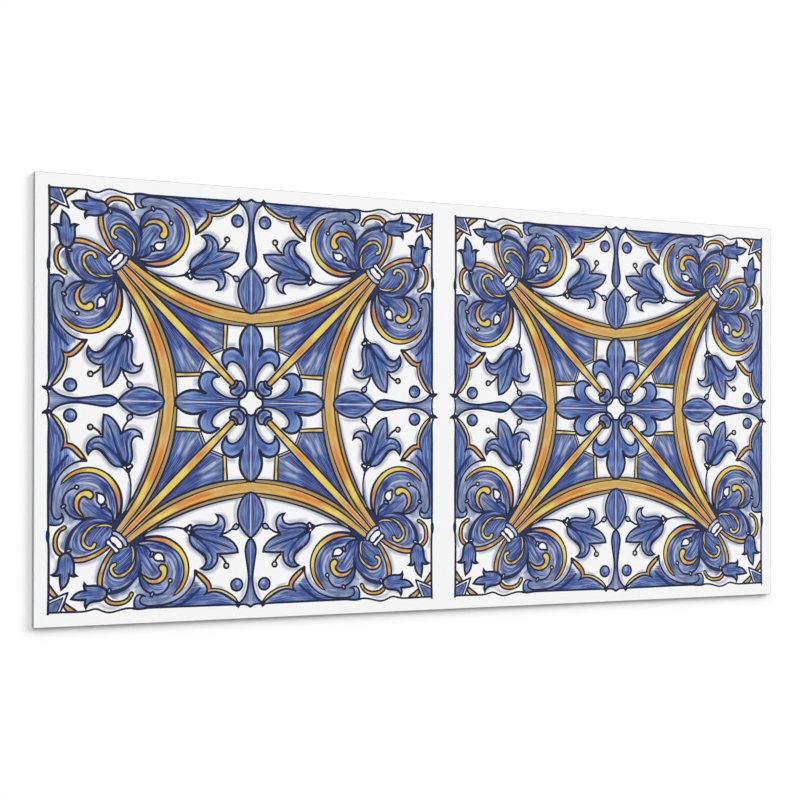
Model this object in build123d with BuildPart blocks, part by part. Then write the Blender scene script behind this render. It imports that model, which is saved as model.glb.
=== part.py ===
"""Peel and stick wall panel: one flat rectangular sheet of foamed PVC, stored lying on its back.

The frame's origin is the middle of the flat adhesive back, +X runs along the panel's length,
+Y along its height as it hangs on the wall, and +Z points out of the printed face.
"""

import os

from build123d import *

# Driving dimensions, in millimetres
panel_length = 600.0
panel_height = 300.0
panel_thickness = 4.0
corner_radius = 0.8  # the four die-cut corners, seen from the front
face_edge_radius = 0.4  # the eased edge all round the printed face

os.makedirs("parts", exist_ok=True)

# The sheet is cut square on its back and eased only where the printed face meets the edges.
with BuildPart() as wall_panel:
    with BuildSketch(Plane.XY):
        RectangleRounded(panel_length, panel_height, corner_radius)
    extrude(amount=panel_thickness)
    printed_face = wall_panel.faces().sort_by(Axis.Z)[-1]
    fillet(printed_face.edges(), radius=face_edge_radius)

wall_panel.part.label = "wall_panel"
export_step(wall_panel.part, "parts/wall_panel.step")
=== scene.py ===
"""Peel and stick wall panel: a white foamed sheet that lies on its back, printed with two painted tiles.

The print is drawn in millimetres for one quarter of a tile, as flat painted areas laid one over the other.
Their outlines cut the face of the sheet into triangles, and each triangle takes the ink of the area on top.
Geometry Nodes mirror the quarter into a tile and set the tiles side by side on the sheet.
"""

import logging
import math
from dataclasses import dataclass, field
from enum import Enum

import bpy
import numpy as np
from mathutils import Matrix, Vector
from mathutils.geometry import delaunay_2d_cdt


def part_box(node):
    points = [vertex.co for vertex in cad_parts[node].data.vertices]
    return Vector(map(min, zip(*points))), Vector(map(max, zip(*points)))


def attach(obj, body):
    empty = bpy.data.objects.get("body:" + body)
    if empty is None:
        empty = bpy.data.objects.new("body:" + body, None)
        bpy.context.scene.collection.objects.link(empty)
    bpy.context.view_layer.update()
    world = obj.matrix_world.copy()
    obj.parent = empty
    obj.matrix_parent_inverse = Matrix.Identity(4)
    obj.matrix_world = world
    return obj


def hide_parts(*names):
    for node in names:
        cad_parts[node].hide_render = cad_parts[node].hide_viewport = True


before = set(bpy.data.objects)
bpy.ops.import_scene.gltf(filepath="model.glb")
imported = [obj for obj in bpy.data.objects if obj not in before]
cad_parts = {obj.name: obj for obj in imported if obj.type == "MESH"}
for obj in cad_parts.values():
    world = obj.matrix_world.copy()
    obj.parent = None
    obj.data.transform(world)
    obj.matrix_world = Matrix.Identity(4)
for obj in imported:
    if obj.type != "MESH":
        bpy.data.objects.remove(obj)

logging.basicConfig(level=logging.INFO, format="%(message)s")
log = logging.getLogger("wall_panel")

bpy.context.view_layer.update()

MM = 0.001
PANEL_NODE = "wall_panel"
WHITE = (1.0, 1.0, 1.0, 1.0)
CURVE_STEPS = 12  # points between two given points, before thinning
END_STEPS = 5  # points of a brush line's round end, both sides counted
SHARPEST_TURN = 0.55  # limits how far a corner of a brush line reaches out
LINE_SPREAD = 0.46  # millimetres by which the ink widens a drawn line
ROUNDING = 6  # digits after the point of a length in metres
# The second finish, a grey foamed plastic, also covers the eased edge of the printed film, where its grey is
# painted shade.
PRINTED, CUT_AND_EDGE_SHADE, GLUED = range(3)  # finishes of the panel's faces, in the order of its materials

Point = tuple[float, float]
Run = list[Point]


class Ink(Enum):
    """Inks of the print, as display colours from 0 to 255."""

    PAPER = (244, 244, 245)
    NAVY = (24, 31, 58)
    UMBER = (42, 32, 28)
    DUSK = (34, 46, 80)
    VEIN = (34, 50, 100)
    DEEP = (46, 62, 128)
    COBALT = (60, 87, 152)
    SKY = (101, 129, 188)
    SLATE = (100, 115, 154)
    AZURE = (144, 166, 216)
    LILAC = (174, 182, 213)
    MIST = (202, 208, 230)
    SHADE = (178, 182, 200)
    YELLOW = (229, 206, 88)
    ORANGE = (214, 128, 44)
    OCHRE = (208, 162, 79)
    BROWN = (166, 142, 92)
    TAN = (198, 140, 102)
    MAUVE = (152, 132, 122)
    CREAM = (220, 205, 144)

    def linear(self) -> np.ndarray:
        """Returns the ink as a linear colour from 0 to 1."""
        share = np.array(self.value, float) / 255.0
        return np.where(share <= 0.04045, share / 12.92, ((share + 0.055) / 1.055) ** 2.4)


def smooth_path(run: Run, closed: bool = False) -> np.ndarray:
    """Draws a smooth line through given points and keeps the points that its shape needs.

    Args:
        run: Points in millimetres, at least two.
        closed: Whether the line runs back to its first point.

    Returns:
        The line as an array of points; a closed one repeats no point.
    """
    points = np.array(run, float)
    if len(points) < 3 and not closed:
        return points
    if closed:
        padded = np.vstack([points[-1:], points, points[:2]])
    else:
        padded = np.vstack([2 * points[0] - points[1], points, 2 * points[-1] - points[-2]])
    share = np.linspace(0.0, 1.0, CURVE_STEPS, endpoint=False)[:, None]
    stretches = []
    for before, start, end, after in zip(padded, padded[1:], padded[2:], padded[3:]):
        steps = (start - before, end - start, after - end)
        gaps = [max(np.linalg.norm(step), 1e-6) ** 0.5 for step in steps]
        leaving = steps[0] / gaps[0] - (end - before) / (gaps[0] + gaps[1]) + steps[1] / gaps[1]
        arriving = steps[1] / gaps[1] - (after - start) / (gaps[1] + gaps[2]) + steps[2] / gaps[2]
        stretches.append(
            (2 * share**3 - 3 * share**2 + 1) * start
            + (share**3 - 2 * share**2 + share) * gaps[1] * leaving
            + (3 * share**2 - 2 * share**3) * end
            + (share**3 - share**2) * gaps[1] * arriving
        )
    stretches.append(points[:1] if closed else points[-1:])
    line = thinned(np.vstack(stretches))
    return line[:-1] if closed else line


def thinned(line: np.ndarray, tolerance: float = 0.06, longest: float = 6.0) -> np.ndarray:
    """Drops the points of a fine line that lie within tolerance of its chords.

    Args:
        line: Points of an open line, in millimetres.
        tolerance: Largest distance of a dropped point from its chord.
        longest: Longest chord that may stand for a stretch of the line.

    Returns:
        The points that are kept.
    """
    keep = np.zeros(len(line), bool)
    keep[[0, -1]] = True
    waiting = [(0, len(line) - 1)]
    while waiting:
        first, last = waiting.pop()
        if last <= first + 1:
            continue
        chord = line[last] - line[first]
        length = float(np.linalg.norm(chord))
        offset = line[first + 1 : last] - line[first]
        if length < 1e-9:
            away = np.linalg.norm(offset, axis=1)
        else:
            away = np.abs(offset[:, 0] * chord[1] - offset[:, 1] * chord[0]) / length
        worst = int(away.argmax())
        if away[worst] <= tolerance:
            if length <= longest:
                continue
            worst = (last - first) // 2 - 1
        middle = first + 1 + worst
        keep[middle] = True
        waiting += [(first, middle), (middle, last)]
    return line[keep]


def outline(*runs: Run) -> np.ndarray:
    """Draws a closed outline of smooth runs that meet in corners.

    Args:
        runs: Points of each run. A run starts where the one before it ends, and the last one closes
            the outline.

    Returns:
        The corners and curve points of the outline.
    """
    start = runs[0][0]
    last: Run = []
    pieces = []
    for number, run in enumerate(runs):
        points = last + run
        if number == len(runs) - 1 and points[-1] != start:
            points = points + [start]
        last = points[-1:]
        pieces.append(smooth_path(points)[:-1])
    return np.vstack(pieces)


def loop(run: Run) -> np.ndarray:
    """Returns a smooth closed outline through points, without corners."""
    return smooth_path(run, closed=True)


def disc(centre: Point, radius: float, count: int = 20) -> np.ndarray:
    """Returns a circle as count points."""
    angle = np.linspace(0.0, 2.0 * math.pi, count, endpoint=False)
    return np.array(centre) + radius * np.stack([np.cos(angle), np.sin(angle)], 1)


def square(low: float, high: float) -> np.ndarray:
    """Returns the corners of an upright square, anticlockwise where the second axis points up."""
    return np.array([(low, low), (high, low), (high, high), (low, high)])


def ring_edges(ring: np.ndarray) -> np.ndarray:
    """Returns both ends of each edge of a closed outline."""
    return np.stack([ring, np.roll(ring, -1, axis=0)], 1)


def brush_sides(
    line: np.ndarray, widths: tuple[float, ...], closed: bool
) -> tuple[np.ndarray, np.ndarray, np.ndarray]:
    """Finds both sides of a brush line.

    Args:
        line: Points of the line's middle.
        widths: Widths of the brush, spread evenly along the line.
        closed: Whether the line runs back to its first point.

    Returns:
        The left side, the right side and the half widths.
    """
    if closed:
        line = np.vstack([line, line[:1]])
    steps = np.diff(line, axis=0)
    lengths = np.maximum(np.linalg.norm(steps, axis=1), 1e-9)
    along = np.concatenate([[0.0], np.cumsum(lengths)])
    half = np.interp(along / along[-1], np.linspace(0.0, 1.0, len(widths)), widths) / 2.0
    heading = steps / lengths[:, None]
    if closed:
        turned = heading + np.roll(heading, 1, axis=0)
        turned = np.vstack([turned, turned[:1]])
    else:
        turned = np.vstack([2 * heading[:1], heading[1:] + heading[:-1], 2 * heading[-1:]])
    size = np.linalg.norm(turned, axis=1)
    reach = half / np.clip(size / 2.0, SHARPEST_TURN, 1.0) / np.maximum(size, 1e-6)
    side = np.stack([-turned[:, 1], turned[:, 0]], 1) * reach[:, None]
    return line + side, line - side, half


def brush_line(run: Run, *widths: float) -> np.ndarray:
    """Draws an open brush line with round ends.

    Args:
        run: Points of the line's middle.
        widths: Widths of the brush, spread evenly along the line.

    Returns:
        The outline of the line.
    """
    line = smooth_path(run)
    left, right, half = brush_sides(line, widths if len(widths) > 1 else widths * 2, False)
    turn = np.linspace(0.0, math.pi, END_STEPS)[1:-1]
    ends = []
    for at, side in ((-1, left[-1] - line[-1]), (0, right[0] - line[0])):
        angle = math.atan2(side[1], side[0]) - turn
        ends.append(line[at] + half[at] * np.stack([np.cos(angle), np.sin(angle)], 1))
    return np.vstack([left, ends[0], right[::-1], ends[1]])


def distance_to(points: np.ndarray, line: np.ndarray) -> tuple[np.ndarray, np.ndarray, np.ndarray]:
    """Measures points against a line.

    Args:
        points: Points to measure.
        line: Points of an open line.

    Returns:
        For each point its distance from the line, how far along the line that is, and its side, 1 or -1.
    """
    nearest = np.full(len(points), np.inf)
    along = np.zeros(len(points))
    side = np.ones(len(points))
    travelled = 0.0
    for start, end in zip(line[:-1], line[1:]):
        step = end - start
        length = max(float(np.linalg.norm(step)), 1e-9)
        offset = points - start
        share = np.clip(offset @ step / length**2, 0.0, 1.0)
        away = np.linalg.norm(offset - share[:, None] * step, axis=1)
        closer = away < nearest
        nearest[closer] = away[closer]
        along[closer] = travelled + share[closer] * length
        side[closer] = np.sign(step[0] * offset[closer, 1] - step[1] * offset[closer, 0])
        travelled += length
    return nearest, along, side


def cut_along(edges: np.ndarray, extra: np.ndarray, weld: float) -> tuple[np.ndarray, np.ndarray]:
    """Cuts the plane into triangles along edges.

    Args:
        edges: Both ends of each edge.
        extra: More points that become corners of triangles.
        weld: Distance within which points become one.

    Returns:
        The points, and the numbers of each triangle's corners.
    """
    points = [Vector(point) for point in np.concatenate([edges.reshape(-1, 2), extra])]
    pairs = [(2 * number, 2 * number + 1) for number in range(len(edges))]
    found = delaunay_2d_cdt(points, pairs, [], 0, weld, False)
    return np.array([tuple(point) for point in found[0]]), np.array(found[2])


@dataclass(frozen=True)
class Along:
    """Brush hairs that follow a line through an area."""

    run: Run

    def flow(self, points: np.ndarray) -> np.ndarray:
        """Returns how far along and how far across the hairs each point lies."""
        away, along, side = distance_to(points, smooth_path(self.run))
        return np.stack([along, away * side], 1)


@dataclass(frozen=True)
class Fan:
    """Brush hairs that spread out from a point."""

    apex: Point
    reach: float = 26.0

    def flow(self, points: np.ndarray) -> np.ndarray:
        """Finds where points lie among the hairs.

        Args:
            points: Points of the area.

        Returns:
            How far along and how far across the hairs each point lies.
        """
        offset = points - np.array(self.apex)
        turn = np.arctan2(offset[:, 1], offset[:, 0])
        return np.stack([np.linalg.norm(offset, axis=1), self.reach * turn], 1)


@dataclass(frozen=True)
class Mark:
    """A soft brush mark, which fades out to both sides of its line and tapers at its ends."""

    run: Run
    width: float
    ink: Ink
    strength: float = 0.8
    taper: float = 0.12
    fade: float = 1.35
    thinnest: float = 0.35

    def mirrored(self) -> "Mark":
        """Returns the mark mirrored in the diagonal of the quarter, with the usual taper."""
        return Mark([(y, x) for x, y in self.run], self.width, self.ink, self.strength)

    def reach(self) -> float:
        """Returns the distance from its line at which the mark has faded out."""
        return self.fade * self.width

    def lines(self) -> list[np.ndarray]:
        """Draws the lines along which an area is cut for the mark.

        Returns:
            The middle of the mark, run on until it fades out, and both of its sides.
        """
        line = smooth_path(self.run)
        left, right, _ = brush_sides(line, (2.0 * self.reach(),) * 2, False)
        ends = []
        for end, before in ((line[0], line[1]), (line[-1], line[-2])):
            ends.append(end + self.reach() * (end - before) / np.linalg.norm(end - before))
        return [np.vstack([ends[0], line, ends[1]]), left, right]

    def share(self, points: np.ndarray) -> np.ndarray:
        """Measures how strongly the mark covers points.

        Args:
            points: Points of the area.

        Returns:
            The share of the mark's ink at each point, from 0 to 1.
        """
        line = smooth_path(self.run)
        reach = self.reach()
        share = np.zeros(len(points))
        near = np.all((points > line.min(0) - reach) & (points < line.max(0) + reach), axis=1)
        away, along, _ = distance_to(points[near], line)
        length = np.linalg.norm(np.diff(line, axis=0), axis=1).sum()
        from_end = np.minimum(along, length - along)
        ends = np.clip(from_end / (self.taper * length + 1e-6), self.thinnest, 1.0)
        fade = np.clip(1.0 - away / (reach * ends), 0.0, 1.0)
        share[near] = self.strength * ends * fade**2 * (3.0 - 2.0 * fade)
        return share


@dataclass(frozen=True)
class Wash:
    """What an area is painted with: ink spots that run together, soft marks, a pale rim and brush hairs."""

    spots: list[tuple[Ink, Point]]
    marks: list[Mark] = field(default_factory=list)
    hairs: Along | Fan | None = None
    streak: float = 0.0
    rim: float = 0.0
    rim_ink: Ink = Ink.LILAC
    rim_line: float = 0.5
    rim_strength: float = 0.8
    spot_core: float = 0.05
    spot_pull: float = 1.5


@dataclass(frozen=True)
class Area:
    """A painted area: it covers the points that its outlines wind round."""

    rings: list[np.ndarray]
    wash: Wash
    swapped: bool = False

    def mirrored(self) -> "Area":
        """Returns the area mirrored in the diagonal of the quarter."""
        return Area(self.rings, self.wash, not self.swapped)

    def own(self, points: np.ndarray) -> np.ndarray:
        """Returns points in the coordinates in which the area was drawn."""
        return points[:, ::-1] if self.swapped else points

    def outlines(self) -> list[np.ndarray]:
        """Returns the area's outlines where they lie in the quarter."""
        return [self.own(ring) for ring in self.rings]

    def covers(self, points: np.ndarray) -> np.ndarray:
        """Tells which points the area covers.

        Args:
            points: Points of the quarter.

        Returns:
            True for each point inside.
        """
        points = self.own(points)
        everything = np.vstack(self.rings)
        inside = np.all((points > everything.min(0)) & (points < everything.max(0)), axis=1)
        tested = points[inside]
        turns = np.zeros(len(tested), int)
        for ring in self.rings:
            for start, end in zip(ring, np.roll(ring, -1, axis=0)):
                step, offset = end - start, tested - start
                left = step[0] * offset[:, 1] - offset[:, 0] * step[1]
                turns += (start[1] <= tested[:, 1]) & (end[1] > tested[:, 1]) & (left > 0)
                turns -= (start[1] > tested[:, 1]) & (end[1] <= tested[:, 1]) & (left < 0)
        inside[inside] = turns != 0
        return inside

    def colours(self, points: np.ndarray) -> np.ndarray:
        """Mixes the wash at points.

        Args:
            points: Points of the quarter.

        Returns:
            A linear colour for each point.
        """
        points = self.own(points)
        inks = np.array([ink.linear() for ink, _ in self.wash.spots])
        places = np.array([place for _, place in self.wash.spots], float)
        away = ((points[:, None] - places[None]) ** 2).sum(2)
        pull = 1.0 / np.maximum(away, self.wash.spot_core) ** self.wash.spot_pull
        colour = (pull @ inks) / pull.sum(1, keepdims=True)
        for mark in self.wash.marks:
            share = mark.share(points)[:, None]
            colour = colour * (1.0 - share) + share * mark.ink.linear()
        if self.wash.rim:
            edge = np.vstack([self.rings[0], self.rings[0][:1]])
            inward = distance_to(points, edge)[0] - self.wash.rim_line
            share = self.wash.rim_strength * np.clip(1.0 - inward / self.wash.rim, 0.0, 1.0)[:, None]
            colour = colour * (1.0 - share) + share * self.wash.rim_ink.linear()
        return colour

    def flow(self, points: np.ndarray) -> np.ndarray:
        """Finds where points lie among the brush hairs.

        Args:
            points: Points of the quarter.

        Returns:
            How far along and across the hairs each point lies, and how strongly they show.
        """
        flow = np.zeros((len(points), 3))
        if self.wash.hairs is not None:
            flow[:, :2] = self.wash.hairs.flow(self.own(points))
            flow[:, 2] = self.wash.streak
        return flow


def cast(run: Run, width: float) -> Mark:
    """Returns a soft shade that a motif casts on the paper."""
    return Mark(run, width, SHADE, strength=1.0, taper=0.0)


def painted(shape: np.ndarray, *spots: tuple[Ink, Point], **wash: object) -> Area:
    """Returns an area with an outline and a wash."""
    return Area([shape], Wash(list(spots), **wash))


def flat(shape: np.ndarray, ink: Ink) -> Area:
    """Returns an area of one ink."""
    return Area([shape], Wash([(ink, (0.0, 0.0))]))


def drawn(run: Run, *widths: float, ink: Ink = Ink.NAVY) -> Area:
    """Returns an open brush line as an area."""
    return flat(brush_line(run, *[width + LINE_SPREAD for width in widths]), ink)


def contour(shape: np.ndarray, width: float, ink: Ink = Ink.NAVY) -> Area:
    """Returns the brush line round a closed outline as an area."""
    left, right, _ = brush_sides(shape, (width + LINE_SPREAD,) * 2, True)
    return Area([left[:-1], right[:-1][::-1]], Wash([(ink, (0.0, 0.0))]))


def across(run: Run) -> Run:
    """Returns a run mirrored in the diagonal, from its end to its start."""
    return [(y, x) for x, y in reversed(run)]


class Motif:
    """A motif of the print, in millimetres across and down from the outer corner of a tile's quarter."""

    def areas(self) -> list[Area]:
        """Returns the areas in painting order."""
        raise NotImplementedError

    def shades(self) -> list[Mark]:
        """Returns the soft shades that the motif casts on the paper."""
        return []


(
    PAPER, NAVY, UMBER, DUSK, VEIN, DEEP, COBALT, SKY, SLATE, AZURE,
    LILAC, MIST, SHADE, YELLOW, ORANGE, OCHRE, BROWN, TAN, MAUVE, CREAM,
) = Ink


@dataclass(frozen=True)
class Hollow(Motif):
    """Thin washes behind the scrolls, where the border leaf curls over them."""

    def areas(self) -> list[Area]:
        """Paints the washes.

        Returns:
            Their areas in painting order.
        """
        under_leaf = outline(
            [(71, 34), (70.6, 29), (69.5, 25.5), (67.3, 21.5), (69.5, 19.5), (71.2, 16), (73, 12.2),
             (78, 11.2), (88, 12.2), (97, 15.5), (104, 21), (108.5, 28), (110, 34.6)],
            [(106, 30), (104, 25), (100, 21.5), (94, 18), (92, 26), (80, 24)],
        )
        under_curl = outline(
            [(50, 20), (53, 17.4), (58, 16.6), (63, 18), (65, 21.5), (67.5, 22.5), (70, 27), (71, 33)],
            [(66, 33), (60, 28), (54, 25), (49, 23.5)],
        )
        return [
            painted(
                under_leaf, (SLATE, (76, 16)), (SLATE, (84, 15)), (SLATE, (90, 15.5)), (LILAC, (97, 18)),
                (SHADE, (102, 22)), (SHADE, (105.5, 27)), (PAPER, (108, 33)), (LILAC, (69, 22.5)),
                (SLATE, (70, 27)),
                marks=[
                    Mark([(74, 13.5), (78, 13), (83, 13.2)], 1.0, LILAC, 0.6),
                    Mark([(85, 17.5), (90, 18.5), (93, 21), (95, 24)], 1.2, LILAC),
                    Mark([(86, 13.4), (93, 15.3), (99, 18.3)], 0.9, LILAC, 0.7),
                ],
                hairs=Along([(72, 17), (78, 13.5), (88, 14.5), (97, 18), (104, 24)]), streak=0.6,
            ),
            painted(
                under_curl, (SLATE, (52, 19.8)), (SLATE, (56, 20.4)), (PAPER, (58, 17.8)),
                (PAPER, (62.5, 18.8)), (SLATE, (59, 21.4)), (SLATE, (62, 22.4)), (LILAC, (65, 24)),
                (MIST, (67.8, 26)), (PAPER, (67, 22.4)), (SLATE, (69.4, 24.6)), (LILAC, (69.6, 29)),
                hairs=Along([(50, 21), (58, 19.8), (66, 24.5), (71, 33)]), streak=0.5,
            ),
        ]


@dataclass(frozen=True)
class ScrollPetal(Motif):
    """First petal of the corner bouquet, with a yellow hook curled inside it."""

    hook_line: float = 0.95
    tail_line: float = 0.6

    def areas(self) -> list[Area]:
        """Paints the petal, its lobe, its hook and its tail.

        Returns:
            Their areas in painting order.
        """
        petal = outline(
            [(45.6, 25.8), (45.6, 30), (46.4, 34.5), (48.2, 39.5), (51, 44.8), (54.2, 49), (58, 52),
             (63, 53.6)],
            [(68.3, 53), (71, 47.5), (71.8, 42), (71.3, 37), (69, 32.2), (65.5, 28), (61, 24.6), (56, 22.8),
             (50.5, 22)],
        )
        lobe = outline(
            [(66, 52.5), (66, 46), (63.5, 39.5), (59.5, 35), (55.5, 34.4), (53.7, 36.5), (55.6, 40),
             (54, 42), (51, 41.8), (52.5, 45.5), (56, 50), (61, 53)],
        )
        hook = [(67.7, 43.4), (66.9, 40.4), (65.2, 37.4), (62.6, 34.9), (59.4, 33), (56.6, 32.5),
                (54, 33.2), (52.2, 35.2), (51.6, 37.6), (52.4, 39.4), (54.2, 40.4)]
        hook_widths = (0.2, 0.7, 1.0, 1.2, 1.3, 1.2, 1.3, 1.4, 1.5, 1.6)
        tail = [(63.8, 53), (65.2, 52.2), (66.3, 50.4), (66.7, 47.6), (66.5, 44.4), (65.6, 41.4)]
        tail_widths = (0.4, 0.6, 0.8, 0.9, 0.7, 0.2)
        return [
            painted(
                petal, (SLATE, (48, 31)), (DEEP, (63, 29)), (COBALT, (55, 27)), (DEEP, (69, 38)),
                (COBALT, (70.6, 45)), (DEEP, (49.3, 33)), (COBALT, (50.5, 42)), (DEEP, (64, 51)),
                (COBALT, (60, 45)), (DEEP, (60, 37.5)), (DEEP, (58, 27.6)),
                marks=[
                    Mark([(46.6, 26.4), (46.8, 31), (47.8, 36), (50.1, 41.5),
                          (53.8, 47.4)], 0.75, MIST, 0.95),
                    Mark([(52, 24.4), (57, 24.6), (61, 26.3), (65, 29.5)], 0.9, LILAC, 0.75),
                    Mark([(50.5, 29.5), (54, 26.8), (57, 26.3)], 1.2, SKY, 0.7),
                    Mark([(49.8, 34.4), (51.6, 31.4), (55, 29.9), (58.4, 29.6),
                          (61.6, 31)], 0.75, LILAC, 1.0),
                    Mark([(46.6, 27.6), (48.8, 24.8)], 0.9, MIST, 0.95),
                    Mark([(66.6, 36.5), (68.5, 41), (69.2, 44)], 1.0, DEEP, 0.6),
                ],
                hairs=Along([(48, 46), (48.5, 33), (53, 27.5), (60, 28), (67, 34.5), (69.8, 43), (68, 52)]),
                streak=0.8,
            ),
            painted(
                lobe, (DEEP, (61, 38)), (COBALT, (57, 36.8)), (DEEP, (64.5, 47)), (COBALT, (56, 43.5)),
                (DEEP, (62.5, 51)), (COBALT, (53.5, 44)),
                marks=[
                    Mark([(54.5, 44.6), (58, 46.6), (61.6, 49.6)], 0.8, AZURE, 0.9),
                    Mark([(57.4, 49.6), (60.4, 50.6), (63.4, 52.4)], 0.6, LILAC),
                    Mark([(57.5, 41.3), (61, 44), (63.6, 48)], 0.8, SKY, 0.55),
                    Mark([(55.5, 38), (59, 40), (62, 43)], 0.9, DEEP, 0.6),
                    Mark([(53.6, 36.6), (54.6, 35.6), (56.4, 35.2)], 0.5, LILAC, 0.9),
                ],
                hairs=Along([(53, 43), (58, 46), (64, 52)]), streak=0.8,
            ),
            drawn(
                [(50.6, 21.4), (54, 21.9), (57, 22.6), (60, 23.8), (64, 26.2), (68, 30.2), (70.2, 33.2),
                 (71.5, 37.4), (71.7, 43), (70.8, 47.5), (68.8, 52.5)],
                2.2, 2.5, 2.5, 2.2, 1.4, 1.0, 1.4, 0.9, 0.7, 0.7, 1.0, ink=DUSK,
            ),
            drawn([(64, 37.4), (66.6, 41), (67.9, 45), (68, 49),
                   (66.6, 53.4)], 1.0, 1.6, 1.9, 2.0, 2.2, ink=DUSK),
            drawn(tail, *[width + 2 * self.tail_line for width in tail_widths], ink=UMBER),
            drawn(hook, *[width + 2 * self.hook_line for width in hook_widths], ink=UMBER),
            painted(
                brush_line(tail, *tail_widths), (LILAC, (64.6, 52.6)), (LILAC, (66, 51)),
                (CREAM, (66.8, 48)), (CREAM, (66.6, 45)), (BROWN, (65.8, 42)),
            ),
            painted(
                brush_line(hook, *hook_widths), (SLATE, (67.6, 43)), (SHADE, (66.6, 39.6)),
                (CREAM, (64.6, 36.6)), (BROWN, (62.4, 34.8)), (CREAM, (60, 33.2)), (BROWN, (57, 32.6)),
                (CREAM, (54, 33.4)), (CREAM, (52, 36.4)), (CREAM, (54.3, 40.4)),
                hairs=Along(hook), streak=0.25,
            ),
        ]


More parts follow.
